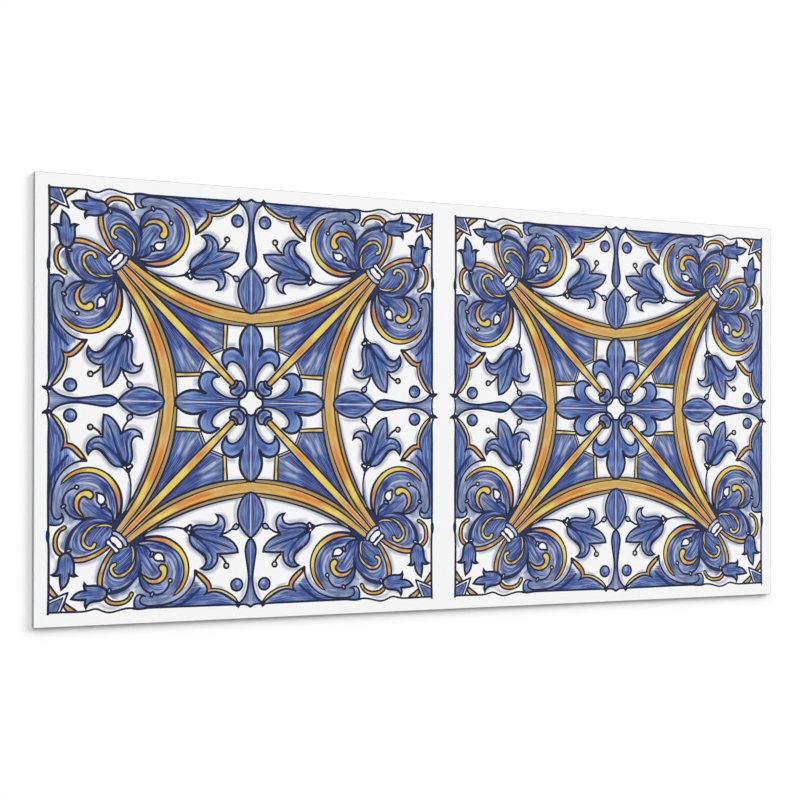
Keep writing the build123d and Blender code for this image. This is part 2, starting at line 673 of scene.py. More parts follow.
@dataclass(frozen=True)
class Volute(Motif):
    """Second petal of the bouquet: a round leaf in an orange and yellow crescent, a comma, beads, a bud."""

    crescent_line: float = 0.75
    comma_line: float = 0.95
    bead_line: float = 0.9
    knob_radius: float = 1.3

    def areas(self) -> list[Area]:
        """Returns the areas in painting order."""
        return self.leaf() + self.crescent() + self.beads() + self.comma() + self.bud()

    def leaf(self) -> list[Area]:
        """Paints the round leaf.

        Returns:
            Its areas in painting order.
        """
        shape = outline(
            [(71, 34), (70.9, 30), (72, 25.8), (74.5, 22.4), (78, 20.2), (82, 19.2), (88, 18.2),
             (94, 18.2)],
            [(98.5, 23.2), (101.4, 29.2), (102.2, 35.6), (101.2, 41.6), (98, 46.8), (93, 51), (87, 54),
             (80, 55.4), (66.5, 54.2)],
            [(69.5, 51), (71.3, 46), (72, 40)],
        )
        inner = outline(
            [(72.2, 40), (72.4, 36), (74, 32.4), (77, 30.2), (81, 29.8), (85, 32), (84.8, 36), (85.4, 39),
             (84.4, 42)],
            [(80.4, 44.6), (78.4, 47), (77.2, 50.2), (74, 52.4), (69.2, 53)],
            [(70.6, 49.4), (71.8, 44.6)],
        )
        return [
            painted(
                shape, (DEEP, (75.5, 24.5)), (COBALT, (84, 22.8)), (LILAC, (90, 26)), (COBALT, (99, 30)),
                (DEEP, (100, 37)), (COBALT, (97, 44)), (DEEP, (93, 47.5)), (DEEP, (83, 51.5)),
                (COBALT, (76, 42)), (DEEP, (74, 50)), (COBALT, (80, 37)), (SLATE, (75, 37)),
                (SLATE, (93.5, 24)), (SLATE, (92, 40)), (DEEP, (96.5, 25)),
                marks=[
                    Mark([(93.8, 26), (95, 31), (95, 36), (93.4, 41), (90, 45.4)], 0.9, MIST, 0.85),
                    Mark([(77, 23), (82, 21), (87, 21.8), (89.5, 24.5)], 0.8, LILAC, 0.6),
                    Mark([(79, 25), (84, 24.2), (88.5, 26.4), (91.3, 30.5), (92.3, 35.5)], 0.8, SLATE),
                    Mark([(91.6, 31), (92.7, 35.5), (91.7, 39.5)], 0.8, LILAC, 0.6),
                    Mark([(97, 25), (98.8, 30), (99, 36)], 1.0, DEEP, 0.6),
                    Mark([(99.8, 28.6), (101, 33), (100.7, 38.4), (98.6, 43.6),
                          (95, 47.8)], 0.5, LILAC, 0.9),
                    Mark([(86, 40.4), (89.2, 40.4), (90.2, 43), (88.6, 46.2)], 0.8, LILAC, 0.95),
                    Mark([(77.6, 51), (80, 49.6), (83.6, 49), (87.6, 48)], 0.7, MIST, 0.9),
                    Mark([(70, 53.9), (73.6, 54.2), (77.4, 54.5)], 0.45, CREAM, 0.9),
                    Mark([(76, 54.5), (80, 54.3), (84, 53.4)], 0.45, LILAC, 0.6),
                ],
                hairs=Along([(72.5, 32), (76, 24.5), (84, 21), (92, 24), (97.5, 33), (96, 43), (88, 50.5),
                             (76, 53)]),
                streak=0.9,
            ),
            painted(
                inner, (SLATE, (74, 37)), (SLATE, (76.4, 33.6)), (COBALT, (79, 33)), (DEEP, (80.6, 36)),
                (COBALT, (77, 41)), (DEEP, (79.6, 40)), (SLATE, (83.4, 38.4)), (DEEP, (75, 47)),
                (COBALT, (72.6, 44)), (DEEP, (72, 51.6)),
                marks=[
                    Mark([(75.2, 33.8), (77.6, 31.8), (80.8, 31), (83.4, 32.2),
                          (84.6, 34.2)], 0.6, LILAC, 0.85),
                    Mark([(80, 34), (81.4, 36.6), (83.4, 38)], 1.0, DEEP, 0.9),
                    Mark([(74.4, 45), (77, 40), (79.4, 35.6)], 0.8, SKY, 0.7),
                    Mark([(73, 41.6), (74.6, 37)], 0.7, AZURE, 0.6),
                    Mark([(78.6, 46), (80.2, 42.6), (83, 40.6), (86.6, 40.3)], 0.8, MIST, 0.95),
                    Mark([(71.4, 50), (74.6, 45), (76.4, 42)], 0.8, DEEP, 0.6),
                ],
                hairs=Along([(84, 32), (78.6, 39), (71.6, 51)]), streak=0.9,
            ),
        ]

    def crescent(self) -> list[Area]:
        """Paints the crescent round the leaf and its dark lines.

        Returns:
            Its areas in painting order.
        """
        shape = outline(
            [(94.2, 17.8), (96.4, 18.7), (98.2, 20), (100.2, 22), (102.4, 25), (104.2, 29), (105.2, 33.4),
             (105.3, 37.6), (104.6, 41.8), (102.9, 46), (101, 49), (98.2, 52), (94.4, 54.8), (90, 56.9),
             (84.6, 58.1), (79, 58), (73, 56.4)],
            [(76, 55.8), (80, 55.5), (84, 54.8), (87.6, 53.7), (91.1, 52), (95.6, 49), (98.45, 46),
             (100.5, 42.6), (101.7, 39), (102, 35), (101.6, 30.6), (100, 26), (97.4, 22.1)],
        )
        return [
            painted(
                shape, (CREAM, (95, 20)), (OCHRE, (99, 23.6)), (OCHRE, (103, 31)), (YELLOW, (103.6, 38)),
                (YELLOW, (102, 44.5)), (YELLOW, (98, 49.6)), (OCHRE, (92, 54.2)), (ORANGE, (87, 56)),
                (TAN, (83, 57)), (TAN, (76, 56.8)),
                marks=[
                    Mark([(92, 52.8), (97, 49.4), (101, 44.6), (103, 38)], 0.5, CREAM, 0.7),
                    Mark([(96.4, 20.4), (99.6, 24), (102.4, 30)], 0.6, ORANGE, 0.6),
                    Mark([(86, 57.3), (92, 55.5), (96, 53)], 0.4, CREAM, 0.6),
                ],
                hairs=Along([(94, 18.5), (100, 24.5), (103.6, 35), (102, 44), (95, 52.3), (85, 57),
                             (72, 56.4)]),
                streak=0.3,
            ),
            contour(shape, self.crescent_line, UMBER),
            drawn([(66, 54.4), (71, 56.8), (77, 58.3), (84, 58.7), (91, 56.9), (97, 53.2), (101, 49.4)],
                  1.8, 1.6, 1.2, 1.2, 1.1, 0.8),
            drawn([(69, 55), (72, 56.2), (74.6, 56.8)], 1.6, 1.4, 0.6),
            drawn([(65, 53), (70, 54.9), (76, 55.8), (82, 55.2), (88, 53.6),
                   (93, 50.9)], 1.8, 1.1, 0.9, 0.9, 0.9),
            drawn([(72, 40), (71.8, 36), (71.4, 34), (71.2, 32)], 0.5, 0.9, 1.8, 1.2, ink=DUSK),
        ]

    def beads(self) -> list[Area]:
        """Paints the thin beaded line that arches over the comma.

        Returns:
            Its areas in painting order.
        """
        bead = loop([(78.6, 18.2), (79.6, 17.9), (80.6, 19), (80.9, 20.6), (80, 21), (79, 20.2)])
        knob = disc((92.4, 28.3), self.knob_radius, 14)
        return [
            drawn([(71.4, 34), (71, 30), (72, 26), (74.4, 22.6), (78.4, 20.1)], 1.7, 1.1, 0.9, 0.9, 0.9),
            drawn([(81, 19.1), (84.3, 19.1), (87.3, 20.2), (89.6, 22.3), (91.2, 24.9),
                   (91.8, 27)], 1.0, 0.9, 0.9, 1.0),
            painted(bead, (SHADE, (79.4, 19.8)), (PAPER, (80, 19.4))),
            contour(bead, self.bead_line),
            flat(knob, PAPER),
            contour(knob, self.bead_line),
        ]

    def comma(self) -> list[Area]:
        """Paints the orange and yellow comma.

        Returns:
            Its areas in painting order.
        """
        shape = outline(
            [(72.4, 33.2), (74, 30), (76.6, 27.6), (80, 26.4), (83.5, 26.5), (86.8, 27.9), (89.2, 30.6),
             (90.3, 34), (90, 37.2), (88.2, 39.2), (86, 39.3), (84.4, 37.8), (84.6, 35.9), (85.9, 34.2),
             (85.8, 32.2), (84, 30.4), (81, 29.6), (77.5, 30.1), (74.6, 32)],
        )
        return [
            painted(
                shape, (SHADE, (73.2, 31.6)), (TAN, (76, 29.4)), (TAN, (79, 28.2)), (ORANGE, (82, 28.2)),
                (YELLOW, (86.4, 30)), (YELLOW, (88.8, 34)), (ORANGE, (86.8, 33.5)), (YELLOW, (86, 37)),
                (YELLOW, (88.5, 37.5)),
                rim=0.5, rim_ink=CREAM,
                hairs=Along([(73, 32), (77, 28.8), (83, 28.2), (88, 31.8), (88, 37)]), streak=0.3,
            ),
            contour(shape, self.comma_line, UMBER),
        ]

    def bud(self) -> list[Area]:
        """Paints the white bud with its cup and stalk.

        Returns:
            Its areas in painting order.
        """
        bud = outline(
            [(88.3, 41.4), (86, 42), (83.6, 41.9), (81.4, 42.9), (80.6, 44.8), (81.8, 46.7), (83.8, 47.6),
             (86, 47), (87.6, 45), (88.3, 41.4)],
        )
        cup = loop([(78.2, 45), (79.4, 44.6), (80.6, 46.2), (80.8, 47.7), (79.6, 48.4), (78.6, 47)])
        return [
            flat(bud, PAPER),
            contour(bud, 1.0),
            painted(cup, (SLATE, (78.8, 45.4)), (LILAC, (80, 47.6))),
            contour(cup, self.bead_line),
            drawn([(78.6, 48), (77.2, 50.2), (74.6, 52), (71, 53), (67, 53.4)], 0.8, 0.9, 1.0, 1.2, 1.6),
        ]


@dataclass(frozen=True)
class BorderLeaf(Motif):
    """Long blue leaf along the frame, with a scalloped orange and yellow trim."""

    def areas(self) -> list[Area]:
        """Returns the areas in painting order."""
        return self.blade() + self.trim()

    def shades(self) -> list[Mark]:
        """Returns the soft shades that the motif casts on the paper."""
        return [cast([(122.5, 23.6), (127, 22.9), (131, 21.3)], 0.9)]

    def blade(self) -> list[Area]:
        """Paints the blue blade and its lines.

        Returns:
            Its areas in painting order.
        """
        inner_edge = [(73.6, 12.6), (77, 11.7), (82, 11.7), (88, 12.1), (92, 13.05), (96, 14.6),
                      (100, 16.8), (104, 20.2), (106.6, 23.3), (108.4, 26.6), (109.6, 30.4)]
        shape = outline(
            [(67.6, 10.5), (67.4, 14), (68, 17), (69.6, 18.9), (71.4, 19.4)],
            [(71, 17), (70.9, 15), (71.9, 13)] + inner_edge + [(110, 34.4)],
            [(113, 29.2), (116, 26), (118.2, 23), (118.7, 20.6), (118.2, 19.2)],
            [(121.5, 19.7), (125, 19.5), (129, 18), (133, 15.8), (137, 13.3), (140.6, 10.8)],
            [(135, 10), (100, 10)],
        )
        return [
            painted(
                shape, (COBALT, (69, 12.6)), (SKY, (69.4, 15)), (LILAC, (69.8, 17.8)), (DEEP, (96, 12.2)),
                (COBALT, (103, 12.6)), (COBALT, (101, 17)), (DEEP, (107, 19.5)), (COBALT, (110.8, 25)),
                (PAPER, (110.5, 30)), (PAPER, (113.6, 26.8)), (SKY, (115, 22)), (COBALT, (112, 17)),
                (COBALT, (118, 13.5)), (DEEP, (125, 16.5)), (COBALT, (130, 12)), (SLATE, (137, 11.6)),
                (COBALT, (120, 11.2)),
                marks=[
                    Mark([(95, 13.8), (101, 17), (106, 21.5), (109, 26.5)], 0.8, LILAC, 0.75),
                    Mark([(100, 13.6), (105.5, 18), (109.5, 23)], 0.9, DEEP, 0.5),
                    Mark([(72.4, 12.4), (75, 12.4)], 0.6, PAPER, 0.6),
                    Mark([(120, 13.9), (123.6, 14.2), (127.4, 13.7)], 0.5, AZURE, 1.0),
                    Mark([(136.4, 11.8), (139.4, 11)], 0.8, LILAC, 0.9),
                    Mark([(116.8, 22.4), (114.2, 26.2), (111.2, 30)], 1.0, PAPER, 1.0),
                    Mark([(111.4, 12.8), (116, 12.9), (119.8, 13.6)], 0.5, AZURE, 1.0),
                    Mark([(112, 15), (118, 16), (123, 15.7), (128, 14.6)], 0.8, SKY, 0.6),
                    Mark([(119, 18.4), (124, 18.4), (129, 16.6), (134, 13.8)], 0.8, LILAC, 0.6),
                    Mark([(117, 17.2), (121, 17.6), (126, 16.4)], 0.9, DEEP, 0.4),
                    Mark([(108, 14.5), (113, 17.3), (116, 19.5)], 1.0, COBALT, 0.7),
                ],
                hairs=Along([(70, 14), (80, 11), (100, 11.5), (118, 14), (136, 11.5)]), streak=0.7,
            ),
            drawn([(67.7, 10.6), (67.3, 13.6), (67.7, 16.6), (69.2, 18.8), (71, 19.5), (73.2, 19.1),
                   (75, 18.2)],
                  1.1, 1.0, 1.0, 0.9, 0.8),
            drawn([(73.4, 18.6), (71.9, 17.6), (71.2, 15.8), (71.9, 13.8)] + inner_edge + [(109.8, 34.3)],
                  0.9, 0.9, 1.0, 0.9, 0.8, 0.9, 1.0, 1.2),
            drawn([(89, 10.4), (95, 10.8), (100, 12), (104, 14.5), (108, 17.4), (111, 19.9), (113.4, 22.4)],
                  0.4, 1.2, 1.4, 1.7, 1.8, 1.6, 1.0, ink=VEIN),
        ]

    def trim(self) -> list[Area]:
        """Paints the scalloped trim and its lines.

        Returns:
            Its areas in painting order.
        """
        shape = outline(
            [(110.2, 34.2), (112, 30.9), (115, 27.6), (118, 24.2), (119.2, 21.6), (118.8, 19.4)],
            [(121.5, 20.2), (125, 20.1), (129, 18.7), (133, 16.5), (137, 14), (140.8, 11.4)],
            [(138.7, 14.1), (135.7, 17), (131.8, 19.6), (128, 21.2), (124.4, 21.9), (121.4, 22.1)],
            [(120.6, 25.2), (118, 28.6), (114.5, 31.6), (110.2, 34.2)],
        )
        return [
            painted(
                shape, (CREAM, (112.4, 31.6)), (OCHRE, (115, 29)), (TAN, (118.6, 25)), (TAN, (119.8, 22)),
                (TAN, (120.2, 20.9)), (CREAM, (124, 21)), (CREAM, (130, 19.6)), (CREAM, (134.6, 17)),
                (CREAM, (138, 14)),
                hairs=Along([(111, 33), (118, 26), (119.6, 21.6)]), streak=0.2,
            ),
            drawn([(110, 34.4), (111.3, 31.4), (114.3, 28), (117.3, 24.8), (118.6, 22), (118.2, 19.6),
                   (116.3, 17.6)],
                  2.0, 1.2, 1.2, 1.1, 1.0, 1.0, 0.8, ink=UMBER),
            drawn([(116.2, 17.6), (118.2, 18.6), (121, 19.4), (124, 19.6), (128, 18.75), (132, 16.85),
                   (136, 14.25), (140, 11.3), (141.2, 10.5)],
                  0.7, 1.0, 1.2, 1.2, 1.2, 1.15, 1.1),
            drawn([(121.3, 21.9), (124, 21.75), (128, 21.15), (132, 19.65), (136, 17.3), (139, 14.6),
                   (141.2, 11.4)],
                  0.9, 0.75, 0.7, 0.7, 0.65, 0.7, ink=UMBER),
            drawn([(121.5, 22), (120.7, 25.4), (118.2, 28.8), (114.6, 31.9), (110, 34.7)],
                  1.0, 1.0, 1.1, 1.2, 1.2, ink=UMBER),
        ]


@dataclass(frozen=True)
class Dot(Motif):
    """Round blue dot between the border leaf and the bell flower."""

    centre: Point = (139.9, 23.8)
    radius: float = 4.1
    line: float = 1.15

    def areas(self) -> list[Area]:
        """Paints the dot.

        Returns:
            Its areas in painting order.
        """
        shape = disc(self.centre, self.radius, 28)
        return [
            painted(
                shape, (DEEP, (138, 22.3)), (COBALT, (137.6, 25.5)), (COBALT, (141.6, 22.6)),
                (SKY, (142.6, 24.4)), (LILAC, (141.5, 27)), (DEEP, (140.4, 20.9)),
                marks=[
                    Mark([(139.6, 24.9), (141.2, 24)], 1.4, AZURE, 1.0),
                    Mark([(140, 24.8), (141, 24.2)], 0.7, MIST, 0.8),
                ],
                rim=0.7,
            ),
            contour(shape, self.line),
        ]


@dataclass(frozen=True)
class BellFlower(Motif):
    """Large blue bell flower with a dark calyx, two stamens and a long stem."""

    line: float = 1.15
    stamen_line: float = 0.95
    anther_radius: float = 1.75

    def areas(self) -> list[Area]:
        """Returns the areas in painting order."""
        return self.bell() + self.calyx() + self.stamens() + self.stem()

    def shades(self) -> list[Mark]:
        """Shades the paper round the flower.

        Returns:
            The soft shades that it casts.
        """
        runs = [
            [(113.5, 34.5), (117, 33.3), (121, 33.6), (124.8, 35.9), (126.9, 39.6), (127.3, 43)],
            [(115.7, 38.6), (115.9, 42), (113.8, 45.2), (109, 48.6), (106.4, 51.2), (105, 53.8),
             (104.6, 56), (104.8, 58)],
            [(107.5, 67.4), (113, 67.4), (119, 66.8), (123, 67.8)],
            [(132.5, 61), (133, 66), (131.5, 70.5), (128, 73.3)],
            [(128.5, 43.9), (134, 44), (138, 44.6)],
        ]
        return [cast(run, 1.8) for run in runs]

    def bell(self) -> list[Area]:
        """Paints the bell and the veins inside it.

        Returns:
            Its areas in painting order.
        """
        shape = outline(
            [(113.9, 35.8), (116, 35.1), (118.6, 34.9), (121.2, 35.6), (123.6, 37.4), (125.3, 40),
             (126, 42.8), (125.8, 45.6)],
            [(130, 45.5), (135, 45.7), (140.7, 46.3)],
            [(140.1, 49), (138.4, 51.8), (136, 54.2), (133, 56.2), (130, 57.5), (127.9, 57.9)],
            [(129.6, 60.6), (130.8, 63.5), (131.1, 66.4), (130.3, 69.3), (128.4, 71.6), (124.7, 72.9)],
            [(126.2, 71), (126.4, 68.8), (125.3, 66.6), (123, 65.3), (120, 65), (116.5, 65.5), (113, 65.7),
             (110, 65.2), (107, 63.4)],
            [(105, 61), (105.8, 58), (106.1, 55), (107.6, 52), (110.2, 49.5), (113.6, 47.2), (116.3, 45),
             (117.8, 42.4), (117.7, 40), (116.5, 37.6)],
        )
        return [
            painted(
                shape, (COBALT, (110, 53)), (SKY, (108.5, 55)), (COBALT, (118, 50)), (COBALT, (119, 38)),
                (SLATE, (120.5, 42)), (SKY, (124, 42)), (COBALT, (125, 49)), (SLATE, (130, 48)),
                (SKY, (138, 48)), (SLATE, (131, 53)), (COBALT, (124, 57)), (DEEP, (123, 59.5)),
                (DEEP, (115, 60)), (SKY, (114, 64)), (COBALT, (126, 63.5)), (LILAC, (128.6, 67.5)),
                (COBALT, (114, 55)),
                marks=[
                    Mark([(107, 57), (110.4, 53.2), (115, 49.2)], 0.7, AZURE, 0.9),
                    Mark([(112, 56), (118, 54.4)], 1.0, SLATE, 0.7),
                    Mark([(119.6, 39), (120.8, 42), (120, 46)], 0.7, LILAC, 0.8),
                    Mark([(122.4, 37.4), (124.4, 40.6), (124.8, 44.6)], 0.7, LILAC, 0.7),
                    Mark([(125.6, 47.6), (132, 47.2), (137, 47.6)], 0.7, LILAC, 0.75),
                    Mark([(119, 57), (125, 55.6), (131, 53.6)], 0.9, SKY, 0.7),
                    Mark([(124, 52), (130, 50), (135, 48.6)], 0.7, LILAC, 0.5),
                    Mark([(134, 54), (137.4, 51.4), (139, 48.6)], 0.7, LILAC, 0.7),
                    Mark([(110, 63.6), (116, 63.8), (121, 63.4), (125, 64.8), (128, 68)], 0.8, LILAC, 0.7),
                    Mark([(130, 62.5), (130.2, 66), (128.8, 69.6)], 0.7, LILAC, 0.7),
                    Mark([(113, 60.4), (119, 59.6), (126, 59.2)], 1.3, DEEP),
                    Mark([(122, 47), (123, 51), (121, 53.5)], 1.2, COBALT, 0.6),
                    Mark([(126.3, 65), (127.6, 67)], 0.9, COBALT, 0.7),
                ],
                hairs=Fan((103.5, 63.5)), streak=0.9,
            ),
            drawn([(106.5, 60.6), (109, 59), (112, 57.5), (118, 55.3), (124, 53.4), (131, 51.2),
                   (136.6, 48.6)],
                  2.2, 2.1, 1.5, 1.0, 0.8, 0.6, 0.2, ink=VEIN),
            drawn([(107, 60), (110, 57.8), (113, 55.5), (116, 52.6), (118.6, 49.6), (120.8, 46.2),
                   (122.1, 42.6), (121.6, 39.6), (120, 37.8)],
                  2.0, 1.7, 1.2, 1.0, 0.95, 0.85, 0.7, 0.3, ink=VEIN),
            drawn([(106.5, 61.2), (109, 61.8), (111, 62.5), (114, 62.8), (118, 62.3), (122, 62),
                   (126, 62.6), (129, 65)],
                  1.8, 1.5, 1.2, 1.0, 0.85, 0.7, 0.5, 0.2, ink=VEIN),
            drawn([(107, 60.2), (110.4, 58.4), (115, 56.2)], 3.0, 2.2, 0.3, ink=DUSK),
            contour(shape, self.line),
            drawn([(117.7, 41.5), (116.6, 44.6), (113.6, 47.2), (110.5, 49.4)], 1.1, 1.9, 1.9, 1.2),
        ]

    def calyx(self) -> list[Area]:
        """Paints the calyx and its lights.

        Returns:
            Its areas in painting order.
        """
        shape = outline(
            [(100.8, 63.3), (102.4, 61.4), (104, 60), (105.6, 59.1), (107.4, 58.4), (110, 58),
             (110.4, 59.4), (109.6, 61), (109.6, 62.2), (108.4, 62.8), (108.2, 64.8), (107.6, 66),
             (106.4, 66.8), (104.9, 66.2), (104, 65.2), (102.2, 64.5)],
        )
        return [
            flat(shape, NAVY),
            drawn([(104.9, 61), (105.5, 60.2)], 0.3, ink=PAPER),
            drawn([(105.5, 63), (106.2, 64.4)], 0.45, ink=PAPER),
        ]

    def stamens(self) -> list[Area]:
        """Paints the two stamens.

        Returns:
            Their areas in painting order.
        """
        round_anther = disc((132.3, 37.2), self.anther_radius, 16)
        long_anther = loop([(136.8, 62.6), (139.3, 62.2), (141, 63.6), (140.8, 65.4), (139.3, 66),
                            (137.8, 65)])
        return [
            drawn([(127.6, 44.1), (129.2, 43.2), (131, 41), (132, 39.4)], 1.2, ink=UMBER),
            painted(round_anther, (SLATE, (131.4, 36.6)), (PAPER, (132.6, 37.6)), (SHADE, (133.4, 36.6))),
            contour(round_anther, self.stamen_line, UMBER),
            drawn([(129, 59.2), (132, 59.9), (135, 61.6), (137.2, 63.3)], 1.3, 1.0, 1.0),
            flat(long_anther, LILAC),
            contour(long_anther, self.stamen_line),
        ]

    def stem(self) -> list[Area]:
        """Paints the stem and the thin leaf along it.

        Returns:
            Its areas in painting order.
        """
        leaf = outline(
            [(70.6, 57.8), (74, 58.8), (80, 59.5), (86, 60), (92, 62), (98, 63)],
            [(92, 64.4), (86, 64.2), (82, 63.2), (78, 62), (74, 60.2)],
        )
        return [
            painted(
                leaf, (MIST, (75, 59.6)), (PAPER, (84, 60.4)), (PAPER, (92, 62.4)),
                marks=[
                    Mark([(71, 58.2), (74.6, 59.6), (78, 61.2)], 0.6, BROWN, 0.9),
                    Mark([(75, 60), (80, 61.7), (86, 63), (92, 63.6), (98, 63.4)], 1.5, LILAC, 1.0),
                    Mark([(76, 60.8), (80, 62.2), (86, 63.6), (90, 64)], 0.8, SLATE, 0.8),
                ],
                hairs=Along([(70, 57.6), (84, 61.6), (98, 63.4)]), streak=0.5,
            ),
            drawn([(68, 57), (73, 60), (78, 62.4), (84, 64.3), (89, 64.8), (95, 64.7), (101.2, 63.4)],
                  1.4, 1.2, 1.0, 0.9, 0.8, 0.8, 1.2),
        ]


@dataclass(frozen=True)
class Spandrel(Motif):
    """Blue field between the arc band and the stalk, closed off by two thin bars."""

    def areas(self) -> list[Area]:
        """Paints the spandrel.

        Returns:
            Its areas in painting order.
        """
        field_shape = outline(
            [(77, 73), (84, 77), (90, 80.5), (96, 84.4), (102, 87.4), (110, 90.8), (120, 93.8),
             (129.8, 95.8)],
            [(129.8, 104), (129.6, 112.6)],
            [(119.4, 116)],
            [(114.8, 110.6), (108, 103.6), (100, 95.8), (92, 88.2), (84, 81)],
        )
        upright = outline([(129.2, 95)], [(129.3, 104), (129, 113.2)], [(130.4, 115)], [(132.4, 113.8)],
                          [(133.1, 104), (132.9, 95)])
        upright_face = outline([(130.6, 95)], [(130.6, 104), (130.1, 113)], [(131.4, 113.2)],
                               [(131.8, 104), (131.7, 95)])
        return [
            painted(
                field_shape, (DEEP, (84, 78)), (DEEP, (95, 87)), (DEEP, (104, 91)), (DEEP, (105, 97)),
                (COBALT, (116, 95)), (COBALT, (126, 98)), (DEEP, (112, 104)), (SLATE, (125, 103)),
                (DEEP, (117, 109.6)), (SLATE, (124, 108.6)), (SLATE, (128, 109)), (COBALT, (123, 112.4)),
                (DEEP, (100, 92)), (DEEP, (90, 84)),
                marks=[
                    Mark([(112, 101), (117, 103.8), (121, 106), (124.8, 109)], 1.5, LILAC, 0.95),
                    Mark([(100, 90.6), (112, 96.4), (127, 105)], 1.1, COBALT, 0.9),
                    Mark([(110, 94.4), (120, 99), (126, 101.4)], 1.0, SKY, 0.55),
                    Mark([(114, 97.6), (120, 99.6), (126, 101.6)], 1.6, LILAC, 0.9),
                    Mark([(112, 92.6), (122, 95.6), (128, 97)], 0.7, SKY, 0.35),
                    Mark([(127.4, 97.6), (127.6, 104), (127.4, 108)], 0.8, SLATE, 0.8),
                    Mark([(122, 107.4), (124.8, 108.6)], 0.8, MIST, 0.9),
                    Mark([(120, 112.6), (124, 111.8)], 1.0, DEEP, 0.7),
                    Mark([(120.6, 114.4), (129.4, 110.8)], 0.5, LILAC, 0.8),
                ],
                hairs=Fan((72, 72), 40.0), streak=0.6,
            ),
            drawn([(131, 112.4), (125.4, 114.6), (119.4, 117)], 2.2, ink=UMBER),
            drawn([(129.4, 113), (125, 114.7), (120.8, 116.5)], 0.25, ink=SHADE),
            flat(upright, UMBER),
            painted(
                upright_face, (CREAM, (131, 99)), (OCHRE, (131, 104)), (CREAM, (131, 106)),
                (CREAM, (131, 111)),
                hairs=Along([(131, 96), (131, 113)]), streak=0.2,
            ),
        ]

    def shades(self) -> list[Mark]:
        """Shades the paper round the spandrel.

        Returns:
            The soft shades that it casts.
        """
        return [
            cast([(134, 97.6), (143, 98.2)], 1.4),
        ]


